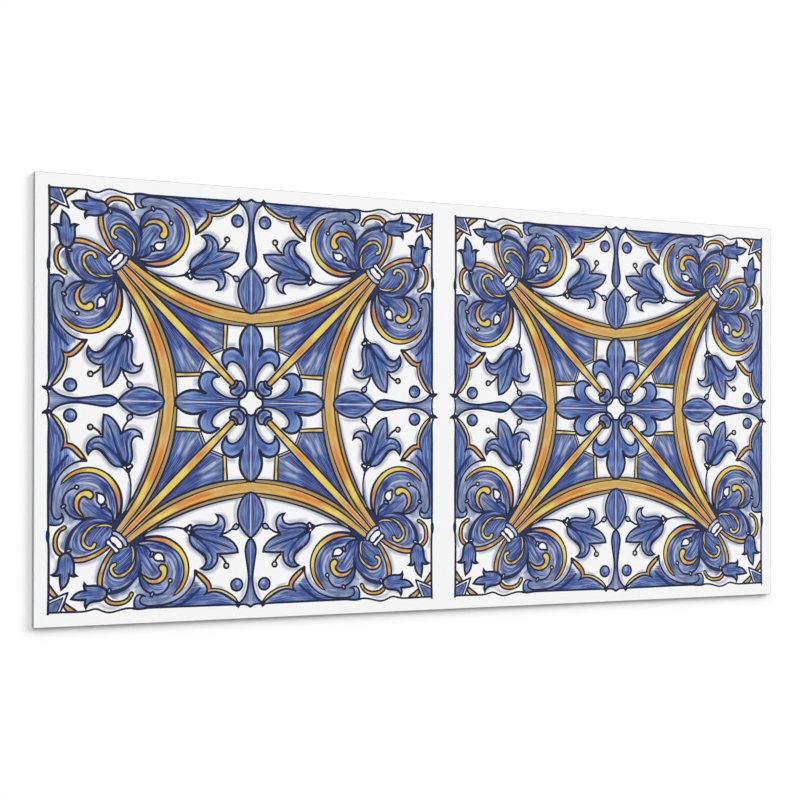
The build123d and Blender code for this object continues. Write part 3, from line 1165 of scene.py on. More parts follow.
@dataclass(frozen=True)
class ArcBand(Motif):
    """Curved ochre band from the knot to the middle of the edge, with a brown rim on each side."""

    def areas(self) -> list[Area]:
        """Paints the band.

        Returns:
            Its areas in painting order.
        """
        ground = outline(
            [(62.6, 53.4), (64.2, 53.2), (66.4, 52.4), (68.6, 53.2), (71, 56), (76, 60.8), (82, 64.2),
             (87, 66.7), (95, 70.6), (105, 74.7), (115, 78), (125, 80.7), (135, 82.7), (143, 84.1)],
            [(150, 86)],
            [(150, 95.6)],
            [(145, 97.1), (135, 96.5), (125, 95.3), (115, 92.8), (105, 89.2), (95, 84.8), (84, 78.7),
             (72, 69.2), (60.4, 58.6)],
        )
        shaded_end = outline(
            [(62.6, 53.4), (64.2, 53.2), (66.4, 52.2), (68.6, 53), (71, 55.6), (74, 57.8)],
            [(73, 59.4), (70.6, 58.2)],
            [(70.4, 60.2), (67, 57), (63.8, 54.4)],
        )
        outer_rim = [(76.5, 62.2), (80.5, 64.5), (84, 66.9), (90, 70.1), (95, 72.45), (105, 76.55),
                     (115, 79.85), (125, 82.45), (135, 84.4), (140, 85.1), (149, 86.8)]
        middle_top = [(63.6, 54.9), (70, 59.7), (78, 65.2), (87, 70.5), (95, 74.4), (105, 78.7), (115, 82),
                      (125, 84.6), (135, 86.4), (145, 87.5), (151, 87.8)]
        middle_foot = [(151, 94.4), (145, 94), (135, 92.9), (125, 91.1), (115, 88.3), (105, 84.6), (95, 80),
                       (87, 75.6), (78, 69.8), (70, 63.7), (62.2, 56.6)]
        inner_rim = [(61.5, 58.2), (68, 64), (76, 70.85), (84, 76.3), (95, 82.4), (105, 86.8), (115, 90.3),
                     (125, 92.9), (135, 94.55), (146, 95.6)]
        return [
            flat(ground, UMBER),
            drawn([(71, 56.4), (76, 61), (82, 64.4), (87, 67.1), (95, 71), (105, 75.1), (115, 78.4),
                   (125, 81.1), (135, 83.1), (143, 84.5)], 0.7),
            drawn([(90, 81.9), (95, 84.5), (105, 88.9), (115, 92.5), (125, 95), (135, 96.2),
                   (145, 96.8)], 0.6),
            flat(shaded_end, DUSK),
            painted(
                brush_line(outer_rim, 0.3, 0.8, 0.7, 0.9, 1.1, 1.4, 1.6, 1.6, 1.6, 1.6, 0.8),
                (CREAM, (77, 62.6)), (BROWN, (80.4, 64.4)), (UMBER, (83, 66.2)), (MAUVE, (87, 68.6)),
                (MAUVE, (96, 73)), (BROWN, (110, 78.4)), (BROWN, (140, 85.6)),
                hairs=Along(outer_rim), streak=0.35,
            ),
            painted(
                outline(middle_top, [(151, 91)], middle_foot),
                (OCHRE, (63.4, 56.2)), (OCHRE, (68, 60)), (OCHRE, (74, 65)), (OCHRE, (80, 69.6)),
                (YELLOW, (85.5, 71.4)), (YELLOW, (90, 73.6)), (OCHRE, (88, 75)), (OCHRE, (94, 76.4)),
                (ORANGE, (100, 80)), (ORANGE, (107, 83)), (ORANGE, (113, 85.4)), (ORANGE, (118, 86.6)),
                (OCHRE, (124, 87.6)), (OCHRE, (132, 89.6)), (OCHRE, (142, 91)), (OCHRE, (150, 91.5)),
                marks=[
                    Mark([(63.8, 55.4), (68, 58.7), (74, 62.9), (82, 68.1), (88, 71.3)], 0.4, CREAM, 0.7),
                    Mark([(65, 58.6), (70, 63), (74, 66.2)], 0.5, TAN, 0.8),
                    Mark([(78, 67.8), (84, 71.2), (90, 74.4), (97, 77)], 1.2, YELLOW, 0.95),
                    Mark([(92, 74), (100, 77.9), (110, 82), (120, 85), (130, 87.2)], 0.9, YELLOW, 0.6),
                    Mark([(100, 81.7), (110, 86), (120, 89), (132, 91.6)], 0.5, CREAM, 0.6),
                    Mark([(134, 87.4), (142, 88.4), (150, 88.9), (158, 88.9)], 0.5, CREAM),
                    Mark([(120, 89), (130, 91.4), (140, 93), (150, 93.8), (160, 93.8)], 0.5, CREAM, 0.5),
                ],
                hairs=Along([(63, 56), (78, 67.6), (95, 77.2), (115, 85.2), (135, 89.6), (151, 91)]),
                streak=0.35,
            ),
            painted(
                brush_line(inner_rim, 0.9, 1.1, 1.4, 1.6, 1.9, 2.0, 2.0, 2.0, 1.8, 1.3),
                (PAPER, (61.6, 58.4)), (PAPER, (63.4, 60)), (CREAM, (66, 62.2)), (CREAM, (70, 65.8)),
                (BROWN, (75, 70)), (BROWN, (82, 74.8)), (BROWN, (92, 80.6)), (BROWN, (104, 86.6)),
                (BROWN, (120, 91.8)), (BROWN, (140, 95.2)),
                hairs=Along(inner_rim), streak=0.35,
            ),
        ]

    def shades(self) -> list[Mark]:
        """Returns the soft shades that the motif casts on the paper."""
        return [cast([(86, 65.2), (91, 67.6), (97, 70.4), (104, 73.9), (112, 76.8), (120, 79), (130, 81.4),
                      (138, 82.8), (142, 83.2)], 1.5)]


@dataclass(frozen=True)
class Fleur(Motif):
    """Arm of the centre flower on the middle line: a leaf, and a side lobe that hooks round a white gap."""

    def areas(self) -> list[Area]:
        """Paints the fleur.

        Returns:
            Its areas in painting order.
        """
        leaf_edge = [(150, 95.1), (147, 96.7), (144.4, 99.8), (142.7, 103.2), (141.9, 107), (142, 110.6),
                     (142.8, 114)]
        lobe_edge = [(142, 114.4), (139.4, 112.9), (136.5, 112.2), (133.6, 112.8), (131.2, 114.2),
                     (129.5, 116.6), (128.9, 119.6), (129.4, 122.6), (130.7, 125), (132.3, 126.6)]
        gap_edge = [(132.5, 124.4), (133.7, 122.6), (135.7, 121.6), (138, 121.8), (140.5, 123.2),
                    (143, 125.9), (145.2, 129.4), (146.6, 133.1), (147.2, 137), (146.8, 141.8)]
        leaf_base = [(145.4, 121), (146.6, 126), (147.4, 132), (147.6, 141)]
        lobe = outline([(145, 113)], [(143.8, 116.6)], lobe_edge, gap_edge, [(150, 141)], [(150, 113)])
        leaf = outline(leaf_edge + [(143.8, 116.6)], leaf_base, [(150, 141)])
        return [
            painted(
                lobe, (SKY, (136.5, 117)), (SKY, (133.5, 119)), (SKY, (131, 121.6)), (COBALT, (140.5, 119)),
                (COBALT, (145, 122)), (DEEP, (147, 130)), (COBALT, (147.4, 138)),
                marks=[
                    Mark([(131, 117), (134, 114.6), (137.6, 114.2), (141, 116)], 0.8, AZURE, 0.7),
                    Mark([(134, 118), (138, 117.2), (142.6, 119.4)], 0.8, COBALT, 0.6),
                    Mark([(130.8, 119.5), (131.3, 122.5)], 0.8, LILAC, 0.6),
                    Mark([(142, 121.6), (145, 125.5), (146.8, 130)], 0.8, COBALT, 0.6),
                ],
                hairs=Along([(131, 121), (134, 116), (140, 117.6), (146, 124), (148.6, 138)]), streak=0.7,
            ),
            painted(
                leaf, (SKY, (143.6, 106)), (COBALT, (145, 113)), (SKY, (146.6, 106)),
                (COBALT, (148.6, 104)), (DEEP, (149.2, 112)), (COBALT, (147, 121)), (DEEP, (149, 125)),
                (COBALT, (148.6, 136)), (SLATE, (148.4, 99)),
                marks=[
                    Mark([(146.4, 99), (144.5, 103), (143.6, 107), (143.7, 111)], 0.6, LILAC, 0.5),
                    Mark([(147, 101), (146, 106), (146.2, 112), (147, 120)], 0.8, SKY, 0.7),
                    Mark([(148.8, 102), (148.7, 116), (148.6, 132)], 0.7, DEEP, 0.7),
                    Mark([(150, 97), (150, 118), (150, 140)], 0.35, PAPER, 1.0),
                ],
                hairs=Along([(148, 95), (148, 141)]), streak=0.8,
            ),
            drawn(leaf_edge + [(143.9, 117.2)], 1.2, 1.2, 1.4, 1.5, 1.6, 1.6, 1.8, 1.4),
            drawn([(143.6, 116.6)] + lobe_edge, 1.8, 1.8, 1.5, 1.4, 1.3, 1.3, 1.4),
            drawn([(132.2, 126.8)] + gap_edge, 1.4, 1.1, 1.1, 1.1, 1.1, 1.1, 1.2),
        ]

    def shades(self) -> list[Mark]:
        """Shades the paper round the fleur.

        Returns:
            The soft shades that it casts.
        """
        gap = [(133.6, 125.4), (134.8, 123.8), (136.8, 123.2), (139.5, 124.5), (142, 127.3), (144.2, 131.3),
               (145.6, 136), (145.8, 140)]
        return [
            cast([(132.5, 110.7), (136, 110), (139.8, 110.3)], 2.0),
            cast(gap, 1.4),
            cast([(132.4, 127.2), (138.4, 133.4)], 1.6),
            cast([(123, 117.2), (129, 123.4)], 1.6),
        ]


@dataclass(frozen=True)
class EdgeColumn(Motif):
    """Baluster and almond leaf on the middle line, under the middle of the edge."""

    line: float = 1.1

    def areas(self) -> list[Area]:
        """Paints the column.

        Returns:
            Its areas in painting order.
        """
        side = [(141.7, 11), (144.4, 13.4), (146.6, 17), (147.9, 21.5), (148.5, 26), (148.4, 31),
                (147.8, 36), (147, 41), (146.4, 45), (146.2, 48), (146.8, 51.6), (148.2, 54.3), (150, 56)]
        almond_side = [(150, 55.8), (147, 58.4), (144, 62), (141.6, 66.5), (140.5, 71), (140.7, 75.5),
                       (142.1, 80), (144.5, 84.3), (147.3, 87), (150, 87.8)]
        return [
            painted(
                outline(side, [(150, 10)]),
                (SLATE, (145, 11.4)), (SLATE, (148.6, 14)), (LILAC, (150, 11)), (COBALT, (149.6, 22)),
                (DEEP, (149.4, 30)), (COBALT, (149, 38)), (DEEP, (147.6, 46)), (COBALT, (149, 50)),
                (DEEP, (149.4, 54)),
                marks=[
                    Mark([(150, 30), (150, 40), (150, 54)], 0.5, LILAC, 0.9),
                    Mark([(148, 40), (147.5, 46), (148.4, 51)], 0.5, SKY, 0.6),
                ],
                hairs=Along([(148, 12), (148, 56)]), streak=0.6,
            ),
            drawn(side, self.line),
            painted(
                outline(almond_side, [(150, 80)]),
                (COBALT, (143.4, 70)), (SKY, (145.4, 73)), (DEEP, (147.8, 72)), (COBALT, (146.6, 62)),
                (DEEP, (147.6, 81)), (COBALT, (149.4, 72)), (SLATE, (149.4, 60)), (COBALT, (149, 85)),
                (COBALT, (143, 80)),
                marks=[
                    Mark([(147.5, 60), (144.2, 64.5), (142, 70), (142.2, 75.5), (144, 81),
                          (147, 85.4)], 0.6, LILAC, 0.65),
                    Mark([(145.6, 66), (145.2, 73), (146, 81)], 0.8, SKY, 0.9),
                    Mark([(148.2, 63), (147.9, 72), (148.2, 82)], 0.8, DEEP),
                    Mark([(143.8, 66), (143.2, 72), (144.2, 79)], 0.6, DEEP, 0.5),
                    Mark([(150, 57), (150, 87.6)], 0.35, PAPER, 1.0),
                ],
                hairs=Along([(147, 58), (145.4, 72), (147, 86)]), streak=0.7,
            ),
            drawn(almond_side, self.line),
        ]

    def shades(self) -> list[Mark]:
        """Shades the paper round the column.

        Returns:
            The soft shades that it casts.
        """
        return [
            cast([(142.2, 13.5), (144.3, 17.5), (145.9, 23), (146.6, 28.5)], 1.3),
            cast([(148, 56), (143.3, 60.2), (139.8, 66), (138.5, 72), (138.9, 78), (140.5, 82.5)], 1.2),
        ]


@dataclass(frozen=True)
class SmallTulip(Motif):
    """Small blue tulip near the corner, on an ochre stem with an orange curl."""

    line: float = 1.25
    stem_line: float = 0.9
    collar_line: float = 0.8

    def areas(self) -> list[Area]:
        """Returns the areas in painting order."""
        return self.curl() + self.stem() + self.flower()

    def shades(self) -> list[Mark]:
        """Shades the paper round the tulip.

        Returns:
            The soft shades that it casts.
        """
        runs = [
            [(36, 12.6), (38.5, 14.6), (42, 15.2), (45, 15.2)],
            [(44.8, 14), (47, 12.2), (50, 11.2), (54, 11), (57.5, 11.5)],
            [(41.2, 28), (41.3, 32), (42, 36), (43.3, 40), (45, 44), (46.6, 46.8)],
            [(32, 15), (32.6, 16)],
        ]
        return [cast(run, 1.5) for run in runs]

    def curl(self) -> list[Area]:
        """Paints the orange curl behind the flower.

        Returns:
            Its areas in painting order.
        """
        shape = outline(
            [(47, 17), (48.4, 15.2), (50.8, 13.6), (54.2, 12.9), (58, 13), (61.4, 14), (64.2, 16),
             (65.9, 18.4), (66.8, 20.2), (66.4, 21.2), (65.2, 21.3), (64.4, 20.3), (63.4, 18.4),
             (61.4, 16.6), (58.4, 15.6), (54.8, 15.5), (51.6, 16.2), (49.4, 17.9)],
            [(48.4, 19)],
        )
        return [
            painted(
                shape, (TAN, (48.6, 16.8)), (TAN, (51, 15)), (OCHRE, (54, 14.3)), (OCHRE, (57.6, 14.3)),
                (CREAM, (61, 14.9)), (BROWN, (64, 17.2)), (CREAM, (65.6, 20)),
                hairs=Along([(48, 17.6), (52, 14.8), (58, 14.2), (63, 16), (65.6, 20)]), streak=0.3,
            ),
            contour(shape, self.stem_line, UMBER),
        ]

    def stem(self) -> list[Area]:
        """Paints the ochre stem down to the knot.

        Returns:
            Its areas in painting order.
        """
        left = [(42.4, 26.4), (42.3, 30), (42.9, 34.2), (44.4, 38.6), (46.6, 43.3), (49, 47.1),
                (51.4, 50.2)]
        right = [(45.5, 25.8), (45.5, 29), (46, 33.1), (47.2, 37.5), (49.3, 42), (51.7, 46), (54, 48.8)]
        return [
            painted(
                outline(left, list(reversed(right))),
                (TAN, (44, 27.4)), (OCHRE, (44.2, 31)), (TAN, (44.8, 35)), (CREAM, (46.4, 39.5)),
                (BROWN, (47.6, 42)), (TAN, (50, 46)), (MAUVE, (52.6, 49)),
                hairs=Along([(44, 26), (44.2, 32), (46.4, 39), (52.6, 49.4)]), streak=0.3,
            ),
            drawn(left, self.stem_line, ink=UMBER),
            drawn(right, self.stem_line, ink=UMBER),
        ]

    def flower(self) -> list[Area]:
        """Paints the flower and the white collar behind it.

        Returns:
            Its areas in painting order.
        """
        shape = outline(
            [(24.9, 18.3), (28, 17.6), (31.4, 17.3), (34.5, 17.4)],
            [(33.9, 15), (34.1, 13), (34.6, 11.7)],
            [(35.3, 13.6), (37, 15.2), (40, 16.1), (44, 16.5), (46.6, 17.5), (48.4, 19.4), (48.9, 21.3),
             (48.4, 23), (46.4, 24.9), (43.4, 26.2), (40, 26.7), (36.6, 26.5), (34.8, 26.9), (33.5, 28.6)],
            [(33.2, 26.6), (33.7, 24.6), (34.9, 23.5)],
            [(32, 23.2), (29, 22.2), (26.8, 20.6)],
        )
        collar = loop([(49.6, 20.6), (50.4, 21), (51.4, 23.4), (51, 24.6), (50, 24.2), (49.4, 22.4)])
        return [
            painted(
                shape, (SLATE, (29, 18.7)), (SKY, (28.6, 20.6)), (COBALT, (33, 19.8)), (SKY, (36.4, 18.4)),
                (COBALT, (37, 16.8)), (COBALT, (41, 17.8)), (DEEP, (38, 21.6)), (COBALT, (42, 22)),
                (COBALT, (37, 24.4)), (SKY, (40, 25.2)), (DEEP, (44, 22)), (SLATE, (46.4, 19.2)),
                (SLATE, (46.8, 22.4)),
                marks=[
                    Mark([(26.6, 19.4), (29, 21.2), (32.6, 22.4)], 0.7, LILAC),
                    Mark([(35, 25.4), (37, 25.8), (40, 25.7)], 0.7, LILAC, 0.7),
                    Mark([(35.5, 18.6), (40, 19)], 0.7, SKY, 0.6),
                    Mark([(45, 18.6), (46.6, 19.6)], 1.0, TAN, 0.45),
                    Mark([(34.5, 21), (41, 21.2)], 0.8, DEEP, 0.5),
                    Mark([(47.5, 21), (47, 23)], 0.7, LILAC, 0.6),
                ],
                hairs=Along([(26, 19.4), (36, 20.6), (48, 21)]), streak=0.7,
            ),
            contour(shape, self.line),
            painted(collar, (LILAC, (49.8, 21.2)), (PAPER, (50.6, 23.8))),
            contour(collar, self.collar_line),
        ]


@dataclass(frozen=True)
class CornerDart(Motif):
    """Blue dart in the corner of the tile, over a brown band. It is its own mirror image."""

    line: float = 0.95
    inner_line: float = 0.5
    band_line: float = 1.0

    def areas(self) -> list[Area]:
        """Paints the dart.

        Returns:
            Its areas in painting order.
        """
        band_shape = outline([(22.6, 10), (20.8, 11.8), (19.6, 13.8)], [(20.6, 15.9)],
                             [(23.6, 13.6), (28.2, 10)])
        band = painted(band_shape, (MAUVE, (21, 13.8)), (TAN, (23, 12)),
                       (MAUVE, (25.4, 10.6)), rim=0.5, rim_ink=CREAM)
        band_edge = contour(band_shape, self.band_line, UMBER)
        side = [(17.6, 10), (20.2, 16), (22.6, 22.6)]
        inner_side = [(15.6, 10), (17.2, 14), (19.4, 19.4)]
        light = [(16.8, 10.6), (18.2, 14), (19.7, 18)]
        field_shape = outline([(10, 10)], inner_side[:1], [(19.4, 19.4)], [(10, 15.6)])
        return [
            band, band.mirrored(), band_edge, band_edge.mirrored(),
            painted(
                outline([(10, 10)], side[:1], [(22.6, 22.6)], [(10, 17.6)]),
                (PAPER, (19.8, 19.8)),
                marks=[Mark(run, 0.7, LILAC, 0.6) for run in (light, across(light))],
            ),
            painted(
                field_shape, (COBALT, (12, 12)), (SLATE, (10.8, 14.6)), (SLATE, (14.6, 10.8)),
                (DEEP, (15, 15)), (SLATE, (18, 18)),
                marks=[Mark(run, 0.8, SLATE, 0.9) for run in (inner_side, across(inner_side))],
                hairs=Fan((19, 19)), streak=0.7,
            ),
            drawn(inner_side, self.inner_line, ink=DUSK),
            drawn(across(inner_side), self.inner_line, ink=DUSK),
            drawn(side, self.line), drawn(across(side), self.line),
        ]


@dataclass(frozen=True)
class Stalk(Motif):
    """Straight ochre stalk on the diagonal, from the knot to the middle. It is its own mirror image."""

    rail: float = 0.95

    def areas(self) -> list[Area]:
        """Paints the stalk.

        Returns:
            Its areas in painting order.
        """
        side = [(60.6, 58.2), (66.4, 63.2), (70.4, 67.1), (76.4, 72.8), (82.4, 78.5), (90.4, 86.4),
                (100.4, 96.1), (112.1, 107.9), (121.9, 118.1), (131.5, 128.5), (138.2, 135.4)]
        light = [(61.4, 59.8), (70, 68.1), (80, 77.7), (90, 87.2), (100, 96.9), (111.4, 108.3),
                 (121.4, 118.9), (134, 132)]
        return [
            painted(
                outline(side, across(side)),
                (OCHRE, (60.4, 60.4)), (ORANGE, (63, 63)), (ORANGE, (68, 68)), (ORANGE, (73, 73)),
                (OCHRE, (79, 79)), (YELLOW, (88, 88)), (YELLOW, (100, 100)), (OCHRE, (109, 109)),
                (ORANGE, (114, 114)), (OCHRE, (117, 117)), (YELLOW, (122, 122)), (OCHRE, (126, 126)),
                (YELLOW, (130, 130)), (OCHRE, (135, 135)),
                marks=[Mark(run, 0.5, CREAM, 1.0) for run in (light, across(light))],
                hairs=Along([(60, 60), (138, 138)]), streak=0.35,
            ),
            drawn(side, self.rail, ink=UMBER), drawn(across(side), self.rail, ink=UMBER),
        ]


@dataclass(frozen=True)
class Knot(Motif):
    """White knot on the diagonal that ties the bouquet. It is its own mirror image."""

    line: float = 0.8

    def areas(self) -> list[Area]:
        """Paints the knot.

        Returns:
            Its areas in painting order.
        """
        lower_half = [(57.05, 57.05), (58.7, 55.4), (59.7, 53.6), (60.4, 52.3), (61.6, 51.9), (62.6, 52.8),
                      (62.5, 54.6), (61.4, 56.9)]
        upper_half = [(53.2, 53.2), (54.6, 52), (55.9, 51), (56.7, 50.3), (56.9, 49.3), (56, 48.2),
                      (54.6, 48.1), (53.5, 49.2), (52.6, 50.5)]
        middle_half = [(53.9, 53.9), (54.9, 52.3), (56, 51.1), (57.6, 50.7), (59.2, 51.4), (59.5, 53),
                       (58.7, 55.2)]
        lower = loop(lower_half + [(59.3, 59.3)] + across(lower_half[1:]))
        upper = loop(upper_half + [(51.5, 51.5)] + across(upper_half[1:]))
        middle = loop(middle_half + [(57.05, 57.05)] + across(middle_half[1:]))
        return [
            painted(lower, (LILAC, (54, 61)), (PAPER, (58.2, 58.2)), (LILAC, (61, 54)), (SHADE, (57, 60)),
                    (SHADE, (60, 57))),
            contour(lower, self.line),
            flat(upper, PAPER),
            contour(upper, self.line),
            flat(middle, PAPER),
            contour(middle, self.line),
        ]


@dataclass(frozen=True)
class Heart(Motif):
    """Bud at the end of the stalk and white heart of the tile. It is its own mirror image."""

    line: float = 1.15

    def areas(self) -> list[Area]:
        """Paints the heart.

        Returns:
            Its areas in painting order.
        """
        collar = loop([(134.4, 139.6), (134.9, 138.6), (137, 137.9), (137.9, 137), (138.6, 134.9),
                       (139.6, 134.4), (140.2, 135.6), (139.4, 138), (138, 139.4), (135.6, 140.2)])
        bud = loop([(135.3, 141), (138.2, 140), (140, 138.2), (141, 135.3), (143, 135.2), (144.7, 137.4),
                    (145, 140.4), (143.4, 143.4), (140.4, 145), (137.4, 144.7), (135.2, 143)])
        tip = loop([(140.8, 145.8), (143, 144.4), (144.4, 143), (145.8, 140.8), (146.9, 142.6),
                    (146.2, 145), (145, 146.2), (142.6, 146.9)])
        scallop = [(150, 141.3), (147.8, 141.9), (146.9, 143.4), (146, 145), (145, 146), (143.4, 146.9),
                   (141.9, 147.8), (141.3, 150)]
        return [
            flat(tip, SHADE),
            contour(tip, self.line),
            painted(bud, (SLATE, (137, 142)), (SLATE, (142, 137)), (DEEP, (141, 141)),
                    (LILAC, (136.4, 142)), (LILAC, (142, 136.4)), (COBALT, (139.6, 142.6)),
                    (COBALT, (142.6, 139.6)), rim=0.8),
            contour(bud, self.line),
            painted(collar, (LILAC, (139, 136)), (LILAC, (136, 139)), (SHADE, (137.6, 138.6))),
            contour(collar, self.line),
            flat(outline(scallop, [(141.3, 152)], [(152, 152)], [(152, 141.3)]), PAPER),
            drawn(scallop, self.line),
        ]


@dataclass(frozen=True)
class FrameLine(Motif):
    """Line round the tile, wavy along the top and straighter along the side, so it has no mirror image."""

    def areas(self) -> list[Area]:
        """Paints the line.

        Returns:
            Its areas in painting order.
        """
        top_node = outline([(141.3, 7.4), (142.4, 9), (143.6, 10.2)], [(142.4, 12)], [(140.4, 11.8)],
                           [(139.2, 10.6), (139.5, 8.8)])
        side_node = outline([(4.9, 141.6), (5.2, 140.6), (6.6, 140.6), (8.6, 140.8), (10.6, 140.6),
                             (11.6, 141.8), (11, 143.4), (9.4, 144.1), (7, 143.4)])
        return [
            drawn([(9.6, 9.8), (18, 9.8), (28, 9.6), (34, 9.75), (37.4, 10.4), (40.6, 11.15), (43, 10.8),
                   (46, 9.4), (49, 8.5), (52, 8.4), (55, 9), (59, 10.1), (63, 10.7),
                   (67, 10.5)], 1.0, 0.95, 0.95, 0.9, 0.9, 0.9, 1.0),
            drawn([(66.8, 10.3), (70, 9.9), (73, 10), (77, 10.5), (88, 10.45), (100, 10.4), (112, 10.3),
                   (128, 10.2), (136, 10.05), (140, 9.9)],
                  1.2, 1.3, 1.15, 1.05, 1.05, 1.05, 1.0, 0.8),
            drawn([(142.5, 10), (146.6, 9.9), (148.2, 9.3), (150, 8.3)], 1.0, 0.9, 1.2, 1.5),
            flat(top_node, NAVY),
            drawn([(9.5, 8.8), (9.85, 20), (9.9, 34), (9.9, 50), (9.6, 57), (9.5, 60), (9.6, 66), (9.5, 80),
                   (9.6, 105), (9.5, 125), (9.7, 133), (9.5, 137), (8.8, 140), (8, 141.6)],
                  1.2, 1.3, 1.3, 1.2, 1.2, 1.2, 1.3, 1.3, 1.2, 1.2, 1.1, 1.1),
            drawn([(9.5, 55.6), (9.3, 58), (9.3, 62), (9.5, 65)], 0.9, 2.3, 2.4, 0.9),
            drawn([(8.6, 143), (9.4, 146), (9.7, 150)], 1.0, 0.9, 0.9),
            flat(side_node, NAVY),
        ]


@dataclass(frozen=True)
class Patch:
    """A part of the panel's skin: the corners of its faces in metres, and what each corner carries."""

    corners: np.ndarray
    inks: np.ndarray
    flows: np.ndarray
    places: np.ndarray
    finish: int
    rounded: bool = False

    @classmethod
    def plain(cls, corners: np.ndarray, places: np.ndarray, finish: int, rounded: bool = False) -> "Patch":
        """Returns an unprinted patch."""
        inks = np.broadcast_to(Ink.PAPER.linear(), corners.shape).copy()
        return cls(corners, inks, np.zeros(corners.shape), places, finish, rounded)


@dataclass(frozen=True)
class TileQuarter:
    """One quarter of a tile: motifs painted over each other, cut into triangles along the edges in sight."""

    side: float = 150.0
    margin: float = 4.0
    sheet: tuple[float, float] = (-5.0, 160.0)
    grid: float = 2.1
    grid_start: float = 0.5
    grid_end: float = 0.4
    weld: float = 0.012
    flow_step: float = 37.0
    paired: tuple[Motif, ...] = (
        Hollow(), ScrollPetal(), Volute(), BorderLeaf(), Dot(), BellFlower(), Spandrel(), ArcBand(), Fleur(),
        EdgeColumn(), SmallTulip(),
    )
    single: tuple[Motif, ...] = (CornerDart(), Stalk(), Knot(), Heart(), FrameLine())

    def areas(self) -> list[Area]:
        """Paints the quarter.

        Returns:
            All areas in painting order, the bare paper first.
        """
        shades = [mark for motif in self.paired for mark in motif.shades()]
        shades += [mark.mirrored() for mark in shades]
        areas = [painted(square(*self.sheet), (PAPER, (0.0, 0.0)), marks=shades)]
        for motif in self.paired:
            painted_once = motif.areas()
            areas += painted_once + [area.mirrored() for area in painted_once]
        for motif in self.single:
            areas += motif.areas()
        return areas

    def topmost(self, points: np.ndarray, areas: list[Area]) -> np.ndarray:
        """Finds the area on top at points.

        Args:
            points: Points of the quarter.
            areas: All areas, in painting order.

        Returns:
            The number of the area on top at each point.
        """
        top = np.zeros(len(points), int)
        for number, area in enumerate(areas[1:], 1):
            top[area.covers(points)] = number
        return top

    def cuts(self, areas: list[Area]) -> np.ndarray:
        """Finds the edges in sight: outlines of areas and lines of soft marks, where nothing covers them.

        Args:
            areas: All areas, in the order in which they are painted.

        Returns:
            The two ends of each edge.
        """
        edges = np.zeros((0, 2, 2))
        for area in areas:
            if len(edges):
                hidden = np.ones(len(edges), bool)
                for share in (0.0, 0.5, 1.0):
                    hidden &= area.covers(edges[:, 0] * (1.0 - share) + edges[:, 1] * share)
                edges = edges[~hidden]
            rings = [ring_edges(ring) for ring in area.outlines()]
            for mark in area.wash.marks:
                lines = np.concatenate([np.stack([line[:-1], line[1:]], 1) for line in mark.lines()])
                inside = area.covers(area.own(lines.mean(1)))
                rings.append(lines[inside][:, :, ::-1] if area.swapped else lines[inside])
            edges = np.concatenate([edges, *rings])
        return edges

    def samples(self, areas: list[Area]) -> np.ndarray:
        """Sets extra points inside the washes, where the colour changes from place to place.

        Args:
            areas: All areas, in painting order.

        Returns:
            The points.
        """
        start, end = self.margin + self.grid_start, self.side - self.grid_end
        rows = np.arange(start, end, self.grid * math.sqrt(0.75))
        columns = np.arange(start, end - self.grid / 2, self.grid)
        shift = np.arange(len(rows)) % 2 * self.grid / 2
        points = np.stack([(columns[None] + shift[:, None]).ravel(), np.repeat(rows, len(columns))], 1)
        blended = np.array([len(area.wash.spots) > 1 for area in areas])
        return points[blended[self.topmost(points, areas)]]

    def patch(self, height: float) -> Patch:
        """Cuts the quarter into triangles and paints each corner.

        Args:
            height: Height of the printed face above the back, in metres.

        Returns:
            The quarter of a tile whose middle is the origin, left of it and above it.
        """
        areas = self.areas()
        low, high = self.margin, self.side
        edges = np.concatenate([self.cuts(areas), ring_edges(square(low, high))])
        places, numbers = cut_along(edges, self.samples(areas), self.weld)
        for border in (low, high):
            places[np.abs(places - border) <= self.weld] = border
        triangles = places[numbers]
        middle = triangles.mean(1)
        triangles = triangles[np.all((middle > low) & (middle < high), axis=1)]
        top = self.topmost(triangles.mean(1), areas)
        inks = np.zeros((*triangles.shape[:2], 3))
        flows = np.zeros_like(inks)
        for number in np.unique(top):
            chosen = top == number
            corners = triangles[chosen].reshape(-1, 2)
            inks[chosen] = areas[number].colours(corners).reshape(-1, 3, 3)
            flows[chosen] = areas[number].flow(corners).reshape(-1, 3, 3)
            flows[chosen, :, 0] += self.flow_step * number
        corners = np.full((*triangles.shape[:2], 3), height)
        corners[..., 0] = (triangles[..., 0] - self.side) * MM
        corners[..., 1] = (self.side - triangles[..., 1]) * MM
        log.info("tile quarter: %d areas, %d cuts, %d triangles", len(areas), len(edges), len(triangles))
        order = [0, 2, 1]
        unmapped = np.zeros((*triangles.shape[:2], 2))
        return Patch(corners[:, order], inks[:, order], flows[:, order], unmapped, PRINTED)


def feed(tree: bpy.types.NodeTree, node: bpy.types.Node, inputs: dict[str | int, object]) -> None:
    """Gives a node its inputs.

    Args:
        tree: Tree of the node.
        node: Node to feed.
        inputs: For each input, by name or number, the socket that it is linked with or a plain value.
    """
    for name, value in inputs.items():
        if isinstance(value, bpy.types.NodeSocket):
            tree.links.new(value, node.inputs[name])
        else:
            node.inputs[name].default_value = value


def add_node(
    tree: bpy.types.NodeTree, kind: str, inputs: dict[str | int, object], **settings: str
) -> bpy.types.Node:
    """Adds a node to a tree.

    Args:
        tree: Tree that takes the node.
        kind: Type of the node.
        inputs: For each input, by name or number, the socket that it is linked with or a plain value.
        settings: Other properties of the node, which are set first.

    Returns:
        The new node.
    """
    node = tree.nodes.new(kind)
    for name, value in settings.items():
        setattr(node, name, value)
    feed(tree, node, inputs)
    return node


